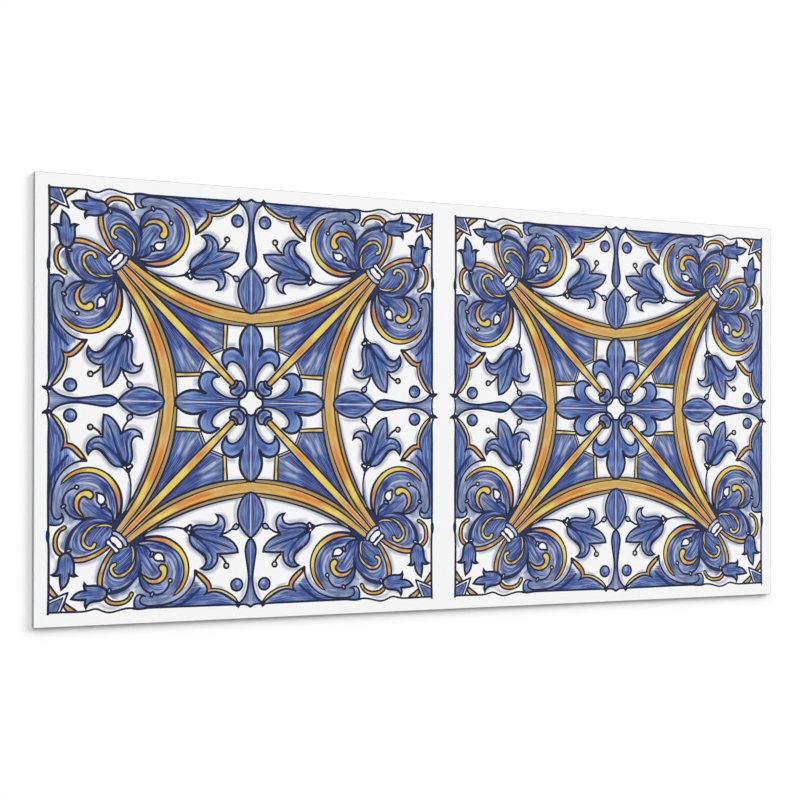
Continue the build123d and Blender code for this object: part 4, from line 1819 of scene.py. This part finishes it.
def new_material(name: str) -> tuple[bpy.types.Material, bpy.types.NodeTree, bpy.types.Node]:
    """Makes a material with nodes.

    Args:
        name: Name of the material.

    Returns:
        The material, its tree and its shader.
    """
    material = bpy.data.materials.new(name)
    material.use_nodes = True
    return material, material.node_tree, material.node_tree.nodes["Principled BSDF"]


def in_scene(name: str, data: bpy.types.ID) -> bpy.types.Object:
    """Makes an object and links it to the scene.

    Args:
        name: Name of the object.
        data: Its mesh, lamp or camera.

    Returns:
        The new object.
    """
    thing = bpy.data.objects.new(name, data)
    bpy.context.scene.collection.objects.link(thing)
    return thing


@dataclass(frozen=True)
class TileRepeat:
    """Geometry Nodes that mirror a quarter into a tile and set tiles in a row."""

    tiles: int = 2
    pitch: float = 0.3
    weld: float = 2e-6

    def tree(self) -> bpy.types.NodeTree:
        """Builds the node tree.

        Returns:
            The tree, with named inputs for the number of tiles, their pitch, weld distance and material.
        """
        tree = bpy.data.node_groups.new("tile_repeat", "GeometryNodeTree")
        for name, kind in (
            ("Quarter", "NodeSocketGeometry"), ("Tiles", "NodeSocketInt"), ("Pitch", "NodeSocketFloat"),
            ("Weld", "NodeSocketFloat"), ("Film", "NodeSocketMaterial"),
        ):
            tree.interface.new_socket(name, in_out="INPUT", socket_type=kind)
        tree.interface.new_socket("Tiles", in_out="OUTPUT", socket_type="NodeSocketGeometry")
        given = tree.nodes.new("NodeGroupInput").outputs
        tile = given["Quarter"]
        for scale in ((-1.0, 1.0, 1.0), (1.0, -1.0, 1.0)):
            tile = self.mirrored(tree, tile, scale, given["Weld"])
        half = add_node(
            tree, "ShaderNodeMath", {0: given["Tiles"], 1: -0.5, 2: 0.5}, operation="MULTIPLY_ADD"
        )
        start = add_node(
            tree, "ShaderNodeMath", {0: half.outputs[0], 1: given["Pitch"]}, operation="MULTIPLY"
        )
        place = add_node(tree, "ShaderNodeCombineXYZ", {"X": start.outputs[0]}).outputs["Vector"]
        step = add_node(tree, "ShaderNodeCombineXYZ", {"X": given["Pitch"]}).outputs["Vector"]
        line = {"Count": given["Tiles"], "Start Location": place, "Offset": step}
        row = add_node(tree, "GeometryNodeMeshLine", line).outputs["Mesh"]
        copies = add_node(tree, "GeometryNodeInstanceOnPoints", {"Points": row, "Instance": tile})
        real = add_node(tree, "GeometryNodeRealizeInstances", {"Geometry": copies.outputs["Instances"]})
        dress = {"Geometry": real.outputs["Geometry"], "Material": given["Film"]}
        dressed = add_node(tree, "GeometryNodeSetMaterial", dress)
        add_node(tree, "NodeGroupOutput", {"Tiles": dressed.outputs["Geometry"]})
        return tree

    def mirrored(
        self,
        tree: bpy.types.NodeTree,
        shape: bpy.types.NodeSocket,
        scale: tuple[float, ...],
        weld: bpy.types.NodeSocket,
    ) -> bpy.types.NodeSocket:
        """Adds nodes that join a shape to its mirror image.

        Args:
            tree: Tree that takes the nodes.
            shape: Socket that gives the shape.
            scale: Scale of the image, with -1 on the mirrored axis.
            weld: Socket that gives the weld distance.

        Returns:
            The socket that gives both halves, welded.
        """
        image = add_node(tree, "GeometryNodeTransform", {"Geometry": shape, "Scale": scale})
        flipped = add_node(tree, "GeometryNodeFlipFaces", {"Mesh": image.outputs["Geometry"]})
        joined = add_node(tree, "GeometryNodeJoinGeometry", {"Geometry": flipped.outputs["Mesh"]})
        feed(tree, joined, {"Geometry": shape})
        both = {"Geometry": joined.outputs["Geometry"], "Distance": weld}
        return add_node(tree, "GeometryNodeMergeByDistance", both).outputs["Geometry"]

    def run(self, quarter: bpy.types.Object, film: bpy.types.Material) -> bpy.types.Mesh:
        """Repeats a quarter over the sheet.

        Args:
            quarter: Object with the mesh of one quarter.
            film: Material of the printed film.

        Returns:
            The tiles as a plain mesh.
        """
        modifier = quarter.modifiers.new("tile_repeat", "NODES")
        modifier.node_group = self.tree()
        values = {"Tiles": self.tiles, "Pitch": self.pitch, "Weld": self.weld, "Film": film}
        for socket in modifier.node_group.interface.items_tree:
            if socket.in_out == "INPUT" and socket.name in values:
                modifier[socket.identifier] = values[socket.name]
        graph = bpy.context.evaluated_depsgraph_get()
        tiles = bpy.data.meshes.new_from_object(quarter.evaluated_get(graph))
        quarter.modifiers.clear()
        return tiles


@dataclass(frozen=True)
class PrintedFilm:
    """Satin film on the face: inks with the brush streaks of a painted tile."""

    roughness: float = 0.5
    roughness_play: float = 0.12
    specular: float = 0.12
    grain: float = 0.6 * MM
    grain_detail: float = 2.0
    bump: float = 0.3
    bump_depth: float = 0.02 * MM
    hair_length: float = 0.06
    hair_spacing: float = 1.7
    hair_detail: float = 1.5
    hair_middle: float = 0.5
    lighter: float = 0.6
    lightest_at: float = 0.78
    pale_hair: tuple[float, ...] = (0.58, 0.66, 0.9, 1.0)
    darker: float = 0.55
    darkest_at: float = 0.22
    dark_hair: tuple[float, ...] = (0.012, 0.018, 0.06, 1.0)

    def material(self) -> bpy.types.Material:
        """Builds the material.

        Returns:
            A material that reads the attributes ink_colour and brush_flow.
        """
        material, tree, shader = new_material("printed_film")
        self.add_grain(tree, shader)
        ink = add_node(tree, "ShaderNodeAttribute", {}, attribute_name="ink_colour")
        flow = add_node(tree, "ShaderNodeAttribute", {}, attribute_name="brush_flow").outputs["Vector"]
        strength = add_node(tree, "ShaderNodeSeparateXYZ", {0: flow}).outputs["Z"]
        scale = (self.hair_length, self.hair_spacing, 0.0)
        stretch = add_node(tree, "ShaderNodeVectorMath", {0: flow, 1: scale}, operation="MULTIPLY")
        look = {"Scale": 1.0, "Detail": self.hair_detail, "Vector": stretch.outputs[0]}
        hairs = add_node(tree, "ShaderNodeTexNoise", look, noise_dimensions="2D").outputs["Fac"]
        colour = ink.outputs["Color"]
        for far_end, amount, tint in (
            (self.lightest_at, self.lighter, self.pale_hair),
            (self.darkest_at, self.darker, self.dark_hair),
        ):
            limits = {"From Min": self.hair_middle, "From Max": far_end, "To Max": amount, "Value": hairs}
            rise = add_node(tree, "ShaderNodeMapRange", limits).outputs["Result"]
            share = add_node(tree, "ShaderNodeMath", {0: rise, 1: strength}, operation="MULTIPLY")
            blend = {"Factor": share.outputs[0], "A": colour, "B": tint}
            colour = add_node(tree, "ShaderNodeMix", blend, data_type="RGBA").outputs["Result"]
        feed(tree, shader, {"Specular IOR Level": self.specular, "Base Color": colour})
        return material

    def add_grain(self, tree: bpy.types.NodeTree, shader: bpy.types.Node) -> None:
        """Gives the film its fine satin grain.

        Args:
            tree: Tree of the material.
            shader: Shader whose roughness and normal take the grain.
        """
        place = tree.nodes.new("ShaderNodeTexCoord").outputs["Object"]
        look = {"Scale": 1.0 / self.grain, "Detail": self.grain_detail, "Vector": place}
        grain = add_node(tree, "ShaderNodeTexNoise", look).outputs["Fac"]
        low, high = self.roughness - self.roughness_play, self.roughness + self.roughness_play
        rough = add_node(tree, "ShaderNodeMapRange", {"To Min": low, "To Max": high, "Value": grain})
        relief = {"Strength": self.bump, "Distance": self.bump_depth, "Height": grain}
        bump = add_node(tree, "ShaderNodeBump", relief)
        feed(tree, shader, {"Roughness": rough.outputs["Result"], "Normal": bump.outputs["Normal"]})


@dataclass(frozen=True)
class MottledSheet:
    """Bare plastic with a faint mottle: the cut edges, grey partly as painted shade, and the adhesive back.
    """

    name: str
    pale: tuple[float, float, float]
    dark: tuple[float, float, float]
    grain: float
    roughness: float
    detail: float = 3.0
    bump: float = 0.25
    bump_depth: float = 0.2 * MM

    def material(self) -> bpy.types.Material:
        """Builds the material.

        Returns:
            A material with a procedural mottle and a fine bump, on object coordinates.
        """
        material, tree, shader = new_material(self.name)
        place = tree.nodes.new("ShaderNodeTexCoord").outputs["Object"]
        look = {"Scale": 1.0 / self.grain, "Detail": self.detail, "Vector": place}
        noise = add_node(tree, "ShaderNodeTexNoise", look).outputs["Fac"]
        blend = {"A": (*self.dark, 1.0), "B": (*self.pale, 1.0), "Factor": noise}
        mixed = add_node(tree, "ShaderNodeMix", blend, data_type="RGBA")
        relief = {"Strength": self.bump, "Distance": self.bump_depth, "Height": noise}
        bump = add_node(tree, "ShaderNodeBump", relief)
        feed(tree, shader, {"Roughness": self.roughness, "Base Color": mixed.outputs["Result"]})
        feed(tree, shader, {"Normal": bump.outputs["Normal"]})
        return material


@dataclass(frozen=True)
class WallPanel:
    """The sheet: its printed face, eased edge, cut edges and back, as one closed piece."""

    corner_radius: float = 0.8 * MM
    eased_radius: float = 0.4 * MM
    corner_steps: int = 6
    eased_steps: int = 4
    margin_weld: float = 1e-7
    map_start: float = 0.02
    map_span: float = 0.9
    map_margin: tuple[float, float] = (0.945, 0.02)
    map_cut: tuple[float, float] = (0.94, 0.952)
    map_eased: tuple[float, float, float] = (0.955, 0.003, 0.002)
    map_back: tuple[float, float] = (0.978, 0.008)
    quarter: TileQuarter = TileQuarter()
    repeat: TileRepeat = TileRepeat()
    film: PrintedFilm = PrintedFilm()
    # Grey of the cut edges: partly their own colour, partly painted shade along the edges; it also covers
    # the eased edge.
    foam_and_edge_shade: MottledSheet = MottledSheet("foam_edge_painted_shade", (0.41, 0.41, 0.42), (0.35, 0.35, 0.36), 0.9 * MM, 0.7)
    adhesive: MottledSheet = MottledSheet(
        "adhesive_back", (0.80, 0.79, 0.76), (0.70, 0.69, 0.66), 14 * MM, 0.45
    )

    def size(self) -> tuple[float, float, float]:
        """Returns the half length, half height and thickness of the sheet, from the CAD part."""
        low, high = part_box(PANEL_NODE)
        return high.x, high.y, high.z

    def rim(self, inset: float, height: float) -> np.ndarray:
        """Draws the outline of the sheet.

        Args:
            inset: Distance inside the cut edge.
            height: Height above the back.

        Returns:
            The points of the outline, anticlockwise from above.
        """
        half_length, half_height, _ = self.size()
        reach = np.array([half_length, half_height]) - self.corner_radius
        radius = self.corner_radius - inset
        points = []
        for number, corner in enumerate(((1, -1), (1, 1), (-1, 1), (-1, -1))):
            middle = np.array(corner) * reach
            angle = math.pi / 2 * (number - 1 + np.linspace(0.0, 1.0, self.corner_steps + 1))
            points.append(middle + radius * np.stack([np.cos(angle), np.sin(angle)], 1))
        flat_rim = np.concatenate(points)
        return np.column_stack([flat_rim, np.full(len(flat_rim), height)])

    def printed_face(self, film: bpy.types.Material) -> Patch:
        """Makes the printed tiles.

        Args:
            film: Material of the printed film.

        Returns:
            The printed part of the face.
        """
        quarter = self.quarter.patch(self.size()[2])
        flat_mesh = welded_mesh("tile_quarter", [quarter])
        cutter = in_scene("tile_quarter", flat_mesh)
        tiles = self.repeat.run(cutter, film)
        corners = read_corners(tiles)
        inks = read_attribute(tiles, "ink_colour", "color", 4)[..., :3]
        flows = read_attribute(tiles, "brush_flow", "vector", 3)
        bpy.data.objects.remove(cutter)
        bpy.data.meshes.remove(flat_mesh)
        bpy.data.meshes.remove(tiles)
        pitch = self.repeat.pitch
        middle = (np.floor(corners[..., 0].mean(1) / pitch) + 0.5) * pitch
        folded = np.abs(np.stack([corners[..., 0] - middle[:, None], corners[..., 1]], 2))
        places = self.map_start + self.map_span * folded / (self.quarter.side * MM)
        return Patch(corners, inks, flows, places, PRINTED)

    def mapped(self, corners: np.ndarray, across: Point, up: Point) -> np.ndarray:
        """Lays flat faces out on the baking map.

        Args:
            corners: Corners of faces of the sheet.
            across: Left edge and half width of their field.
            up: Lower edge and half height of their field.

        Returns:
            The place of each corner on the map.
        """
        half_length, half_height, _ = self.size()
        columns = across[0] + across[1] * (corners[..., 0] / half_length + 1.0)
        rows = up[0] + up[1] * (corners[..., 1] / half_height + 1.0)
        return np.stack([columns, rows], 2)

    def margin(self, printed: Patch) -> Patch:
        """Fills the white strip between the print and the eased edge.

        Args:
            printed: The printed part of the face.

        Returns:
            The strip round both tiles.
        """
        _, _, thickness = self.size()
        rim = self.rim(self.eased_radius, thickness)[:, :2]
        edges = np.concatenate([open_edges(printed), ring_edges(rim)])
        points, numbers = cut_along(edges, np.zeros((0, 2)), self.margin_weld)
        triangles = points[numbers]
        middle = triangles.mean(1)
        pitch = self.repeat.pitch
        reach = (self.quarter.side - self.quarter.margin) * MM
        from_tile = np.abs(middle[:, 0] - (np.floor(middle[:, 0] / pitch) + 0.5) * pitch)
        triangles = triangles[(from_tile > reach) | (np.abs(middle[:, 1]) > reach)]
        corners = np.concatenate([triangles, np.full((*triangles.shape[:2], 1), thickness)], 2)
        places = self.mapped(corners, self.map_margin, (self.map_start, self.map_span / 2))
        return Patch.plain(corners, places, PRINTED)

    def sides(self) -> list[Patch]:
        """Makes the cut edges and the eased edge above them, both in the grey of the cut edges, which on the
        eased edge is painted shade.

        Returns:
            A strip of faces for each step from the back to the face.
        """
        _, _, thickness = self.size()
        steps = [(0.0, 0.0)]
        for turn in np.linspace(0.0, math.pi / 2, self.eased_steps + 1):
            inset = self.eased_radius * (1.0 - math.cos(turn))
            drop = self.eased_radius * (1.0 - math.sin(turn))
            steps.append((inset, thickness - drop))
        first_row, row_pitch, row_width = self.map_eased
        strips = []
        for number, (lower, upper) in enumerate(zip(steps, steps[1:])):
            low, high = self.rim(*lower), self.rim(*upper)
            corners = np.stack([low, np.roll(low, -1, axis=0), np.roll(high, -1, axis=0), high], 1)
            column = self.map_start + self.map_span * np.linspace(0.0, 1.0, len(low) + 1)
            columns = np.stack([column[:-1], column[1:], column[1:], column[:-1]], 1)
            base, top = self.map_cut
            if number > 0:
                base = first_row + row_pitch * number
                top = base + row_width
            rows = np.broadcast_to([base, base, top, top], columns.shape)
            # Cut wall and eased edge alike take the grey edge finish, which is painted shade on the eased
            # edge.
            strips.append(Patch.plain(corners, np.stack([columns, rows], 2), CUT_AND_EDGE_SHADE, rounded=True))
        return strips

    def back(self) -> Patch:
        """Makes the flat adhesive back.

        Returns:
            Triangles from the middle to each edge of the outline.
        """
        rim = self.rim(0.0, 0.0)
        middle = np.zeros_like(rim)
        corners = np.stack([np.roll(rim, -1, axis=0), rim, middle], 1)
        places = self.mapped(corners, (self.map_start, self.map_span / 2), self.map_back)
        return Patch.plain(corners, places, GLUED)

    def build(self) -> bpy.types.Object:
        """Builds the panel, hangs it on the root body and hides the CAD part.

        Returns:
            The finished piece.
        """
        film = self.film.material()
        printed = self.printed_face(film)
        mesh = welded_mesh("printed_panel", [printed, self.margin(printed), *self.sides(), self.back()])
        for material in (film, self.foam_and_edge_shade.material(), self.adhesive.material()):
            mesh.materials.append(material)
        panel = in_scene("printed_panel", mesh)
        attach(panel, "root")
        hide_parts(PANEL_NODE)
        log.info("printed_panel: %d points, %d faces", len(mesh.vertices), len(mesh.polygons))
        return panel


def read_corners(mesh: bpy.types.Mesh) -> np.ndarray:
    """Reads the corners of a mesh of triangles.

    Args:
        mesh: Mesh to read.

    Returns:
        The points of each triangle's three corners.
    """
    points = np.zeros(3 * len(mesh.vertices), np.float32)
    mesh.vertices.foreach_get("co", points)
    corners = np.zeros(len(mesh.loops), np.int32)
    mesh.loops.foreach_get("vertex_index", corners)
    return points.reshape(-1, 3).astype(float)[corners].reshape(-1, 3, 3)


def read_attribute(mesh: bpy.types.Mesh, name: str, value: str, size: int) -> np.ndarray:
    """Reads what the corners of a mesh of triangles carry.

    Args:
        mesh: Mesh to read.
        name: Name of the attribute.
        value: Name of its value, which depends on its kind.
        size: How many numbers each corner has.

    Returns:
        The numbers of each triangle's three corners.
    """
    numbers = np.zeros(size * len(mesh.loops), np.float32)
    mesh.attributes[name].data.foreach_get(value, numbers)
    return numbers.reshape(-1, 3, size).astype(float)


def open_edges(patch: Patch) -> np.ndarray:
    """Finds the edges that only one face of a flat patch has.

    Args:
        patch: Patch to search.

    Returns:
        Both ends of each such edge, seen from above.
    """
    flat_corners = patch.corners[..., :2].reshape(-1, 2).round(ROUNDING)
    points, corners = np.unique(flat_corners, axis=0, return_inverse=True)
    faces = corners.reshape(-1, patch.corners.shape[1])
    edges = np.sort(np.stack([faces, np.roll(faces, -1, axis=1)], 2).reshape(-1, 2), axis=1)
    edges, uses = np.unique(edges, axis=0, return_counts=True)
    return points[edges[uses == 1]]


def welded_mesh(name: str, patches: list[Patch]) -> bpy.types.Mesh:
    """Joins patches into one mesh.

    Args:
        name: Name of the mesh.
        patches: Patches whose edges meet.

    Returns:
        A mesh with the inks and brush flow of its corners, and a map for baking.
    """
    everything = np.concatenate([patch.corners.reshape(-1, 3) for patch in patches])
    points, numbers = np.unique(everything.round(ROUNDING), axis=0, return_inverse=True)
    numbers = numbers.ravel()
    faces = []
    first = 0
    for patch in patches:
        count, size, _ = patch.corners.shape
        faces += numbers[first : first + count * size].reshape(count, size).tolist()
        first += count * size
    mesh = bpy.data.meshes.new(name)
    mesh.from_pydata(points.tolist(), [], faces)
    inks = np.concatenate([patch.inks.reshape(-1, 3) for patch in patches])
    inks = np.column_stack([inks, np.ones(len(inks))])
    flows = np.concatenate([patch.flows.reshape(-1, 3) for patch in patches])
    places = np.concatenate([patch.places.reshape(-1, 2) for patch in patches])
    for title, kind, value, carried in (
        ("ink_colour", "FLOAT_COLOR", "color", inks),
        ("brush_flow", "FLOAT_VECTOR", "vector", flows),
    ):
        attribute = mesh.attributes.new(title, kind, "CORNER")
        attribute.data.foreach_set(value, carried.astype(np.float32).ravel())
    mesh.uv_layers.new(name="OFBake").data.foreach_set("uv", places.astype(np.float32).ravel())
    finishes = np.concatenate([np.full(len(patch.corners), patch.finish) for patch in patches])
    mesh.polygons.foreach_set("material_index", finishes.astype(np.int32))
    rounded = np.concatenate([np.full(len(patch.corners), patch.rounded) for patch in patches])
    mesh.polygons.foreach_set("use_smooth", rounded)
    mesh.update()
    return mesh


@dataclass(frozen=True)
class Lamp:
    """A broad lamp far away, which leans from overhead toward +X and +Y."""

    name: str
    share: float
    lean_x: float
    lean_y: float
    spread: float

    def build(self) -> None:
        """Makes the lamp, as bright as its share of the light on the panel's face asks for."""
        leans = [math.tan(math.radians(lean)) for lean in (self.lean_x, self.lean_y)]
        toward = Vector((*leans, 1.0)).normalized()
        light = bpy.data.lights.new(self.name, "SUN")
        light.energy = math.pi * self.share / toward.z
        light.angle = math.radians(self.spread)
        in_scene(self.name, light).rotation_euler = toward.to_track_quat("Z", "Y").to_euler()
        log.info("%s: %.2f of the light", self.name, self.share)


@dataclass(frozen=True)
class Studio:
    """Pale floor, soft light and the camera of the photograph."""

    floor_half: float = 6.0
    floor_drop: float = 0.3 * MM
    floor_grey: float = 0.97
    floor_glow: float = 0.03
    sky: float = 0.14
    lamps: tuple[Lamp, ...] = (
        Lamp("key_light", 0.34, 50.0, 38.8, 35.5),
        Lamp("fill_light", 0.52, -19.7, 32.4, 78.7),
    )
    camera_place: tuple[float, float, float] = (-0.50364, -0.03483, 1.01203)
    camera_yaw: float = -0.43478
    camera_pitch: float = 0.00676
    camera_roll: float = 0.0015
    camera_lens: float = 68.70
    camera_rise: float = 0.0536

    def build(self) -> None:
        """Sets up the floor, the light and the camera."""
        scene = bpy.context.scene
        scene.view_settings.view_transform = "Standard"
        self.floor()
        self.light()
        self.camera()

    def seen_directly(self, tree: bpy.types.NodeTree) -> bpy.types.NodeSocket:
        """Adds nodes that tell whether the camera, a reflection or glass sees a surface.

        Args:
            tree: Tree that takes the nodes.

        Returns:
            The socket that is 1 for such rays.
        """
        path = tree.nodes.new("ShaderNodeLightPath")
        seen = path.outputs["Is Camera Ray"]
        for name in ("Is Glossy Ray", "Is Transmission Ray"):
            either = {0: seen, 1: path.outputs[name]}
            seen = add_node(tree, "ShaderNodeMath", either, operation="MAXIMUM").outputs[0]
        return seen

    def floor(self) -> None:
        """Makes the floor, which the camera sees as white outside the panel's shadow."""
        side, height = self.floor_half, -self.floor_drop
        mesh = bpy.data.meshes.new("floor")
        corners = [(x, y, height) for x, y in square(-side, side).tolist()]
        mesh.from_pydata(corners, [], [(0, 1, 2, 3)])
        material, tree, shader = new_material("studio_floor")
        strength = {0: self.seen_directly(tree), 1: self.floor_glow}
        glow = add_node(tree, "ShaderNodeMath", strength, operation="MULTIPLY")
        feed(tree, shader, {
            "Base Color": (self.floor_grey, self.floor_grey, self.floor_grey, 1.0),
            "Roughness": 1.0,
            "Specular IOR Level": 0.0,
            "Emission Color": WHITE,
            "Emission Strength": glow.outputs[0],
        })
        mesh.materials.append(material)
        floor = in_scene("floor", mesh)
        log.info("floor: %.0f m wide", 2.0 * side)

    def light(self) -> None:
        """Makes the soft light: a pale sky all round and two broad lamps."""
        world = bpy.data.worlds.new("studio")
        bpy.context.scene.world = world
        world.use_nodes = True
        tree = world.node_tree
        limits = {"To Min": self.sky, "To Max": 1.0, "Value": self.seen_directly(tree)}
        strength = add_node(tree, "ShaderNodeMapRange", limits)
        feed(tree, tree.nodes["Background"], {"Color": WHITE, "Strength": strength.outputs["Result"]})
        for lamp in self.lamps:
            lamp.build()
        log.info("sky: %.2f of the light", self.sky)

    def camera(self) -> None:
        """Makes the camera and gives it to the scene."""
        lens = bpy.data.cameras.new("camera")
        lens.lens = self.camera_lens
        lens.shift_y = self.camera_rise
        camera = in_scene("camera", lens)
        camera.location = self.camera_place
        turned = (
            Matrix.Rotation(self.camera_yaw, 3, "Y")
            @ Matrix.Rotation(self.camera_pitch, 3, "X")
            @ Matrix.Rotation(self.camera_roll, 3, "Z")
        )
        camera.rotation_euler = turned.to_euler()
        bpy.context.scene.camera = camera
        log.info("camera: %.1f mm lens", self.camera_lens)


def main() -> None:
    """Builds the panel and the studio."""
    WallPanel().build()
    Studio().build()
    bpy.context.view_layer.update()


if __name__ == "__main__":
    main()
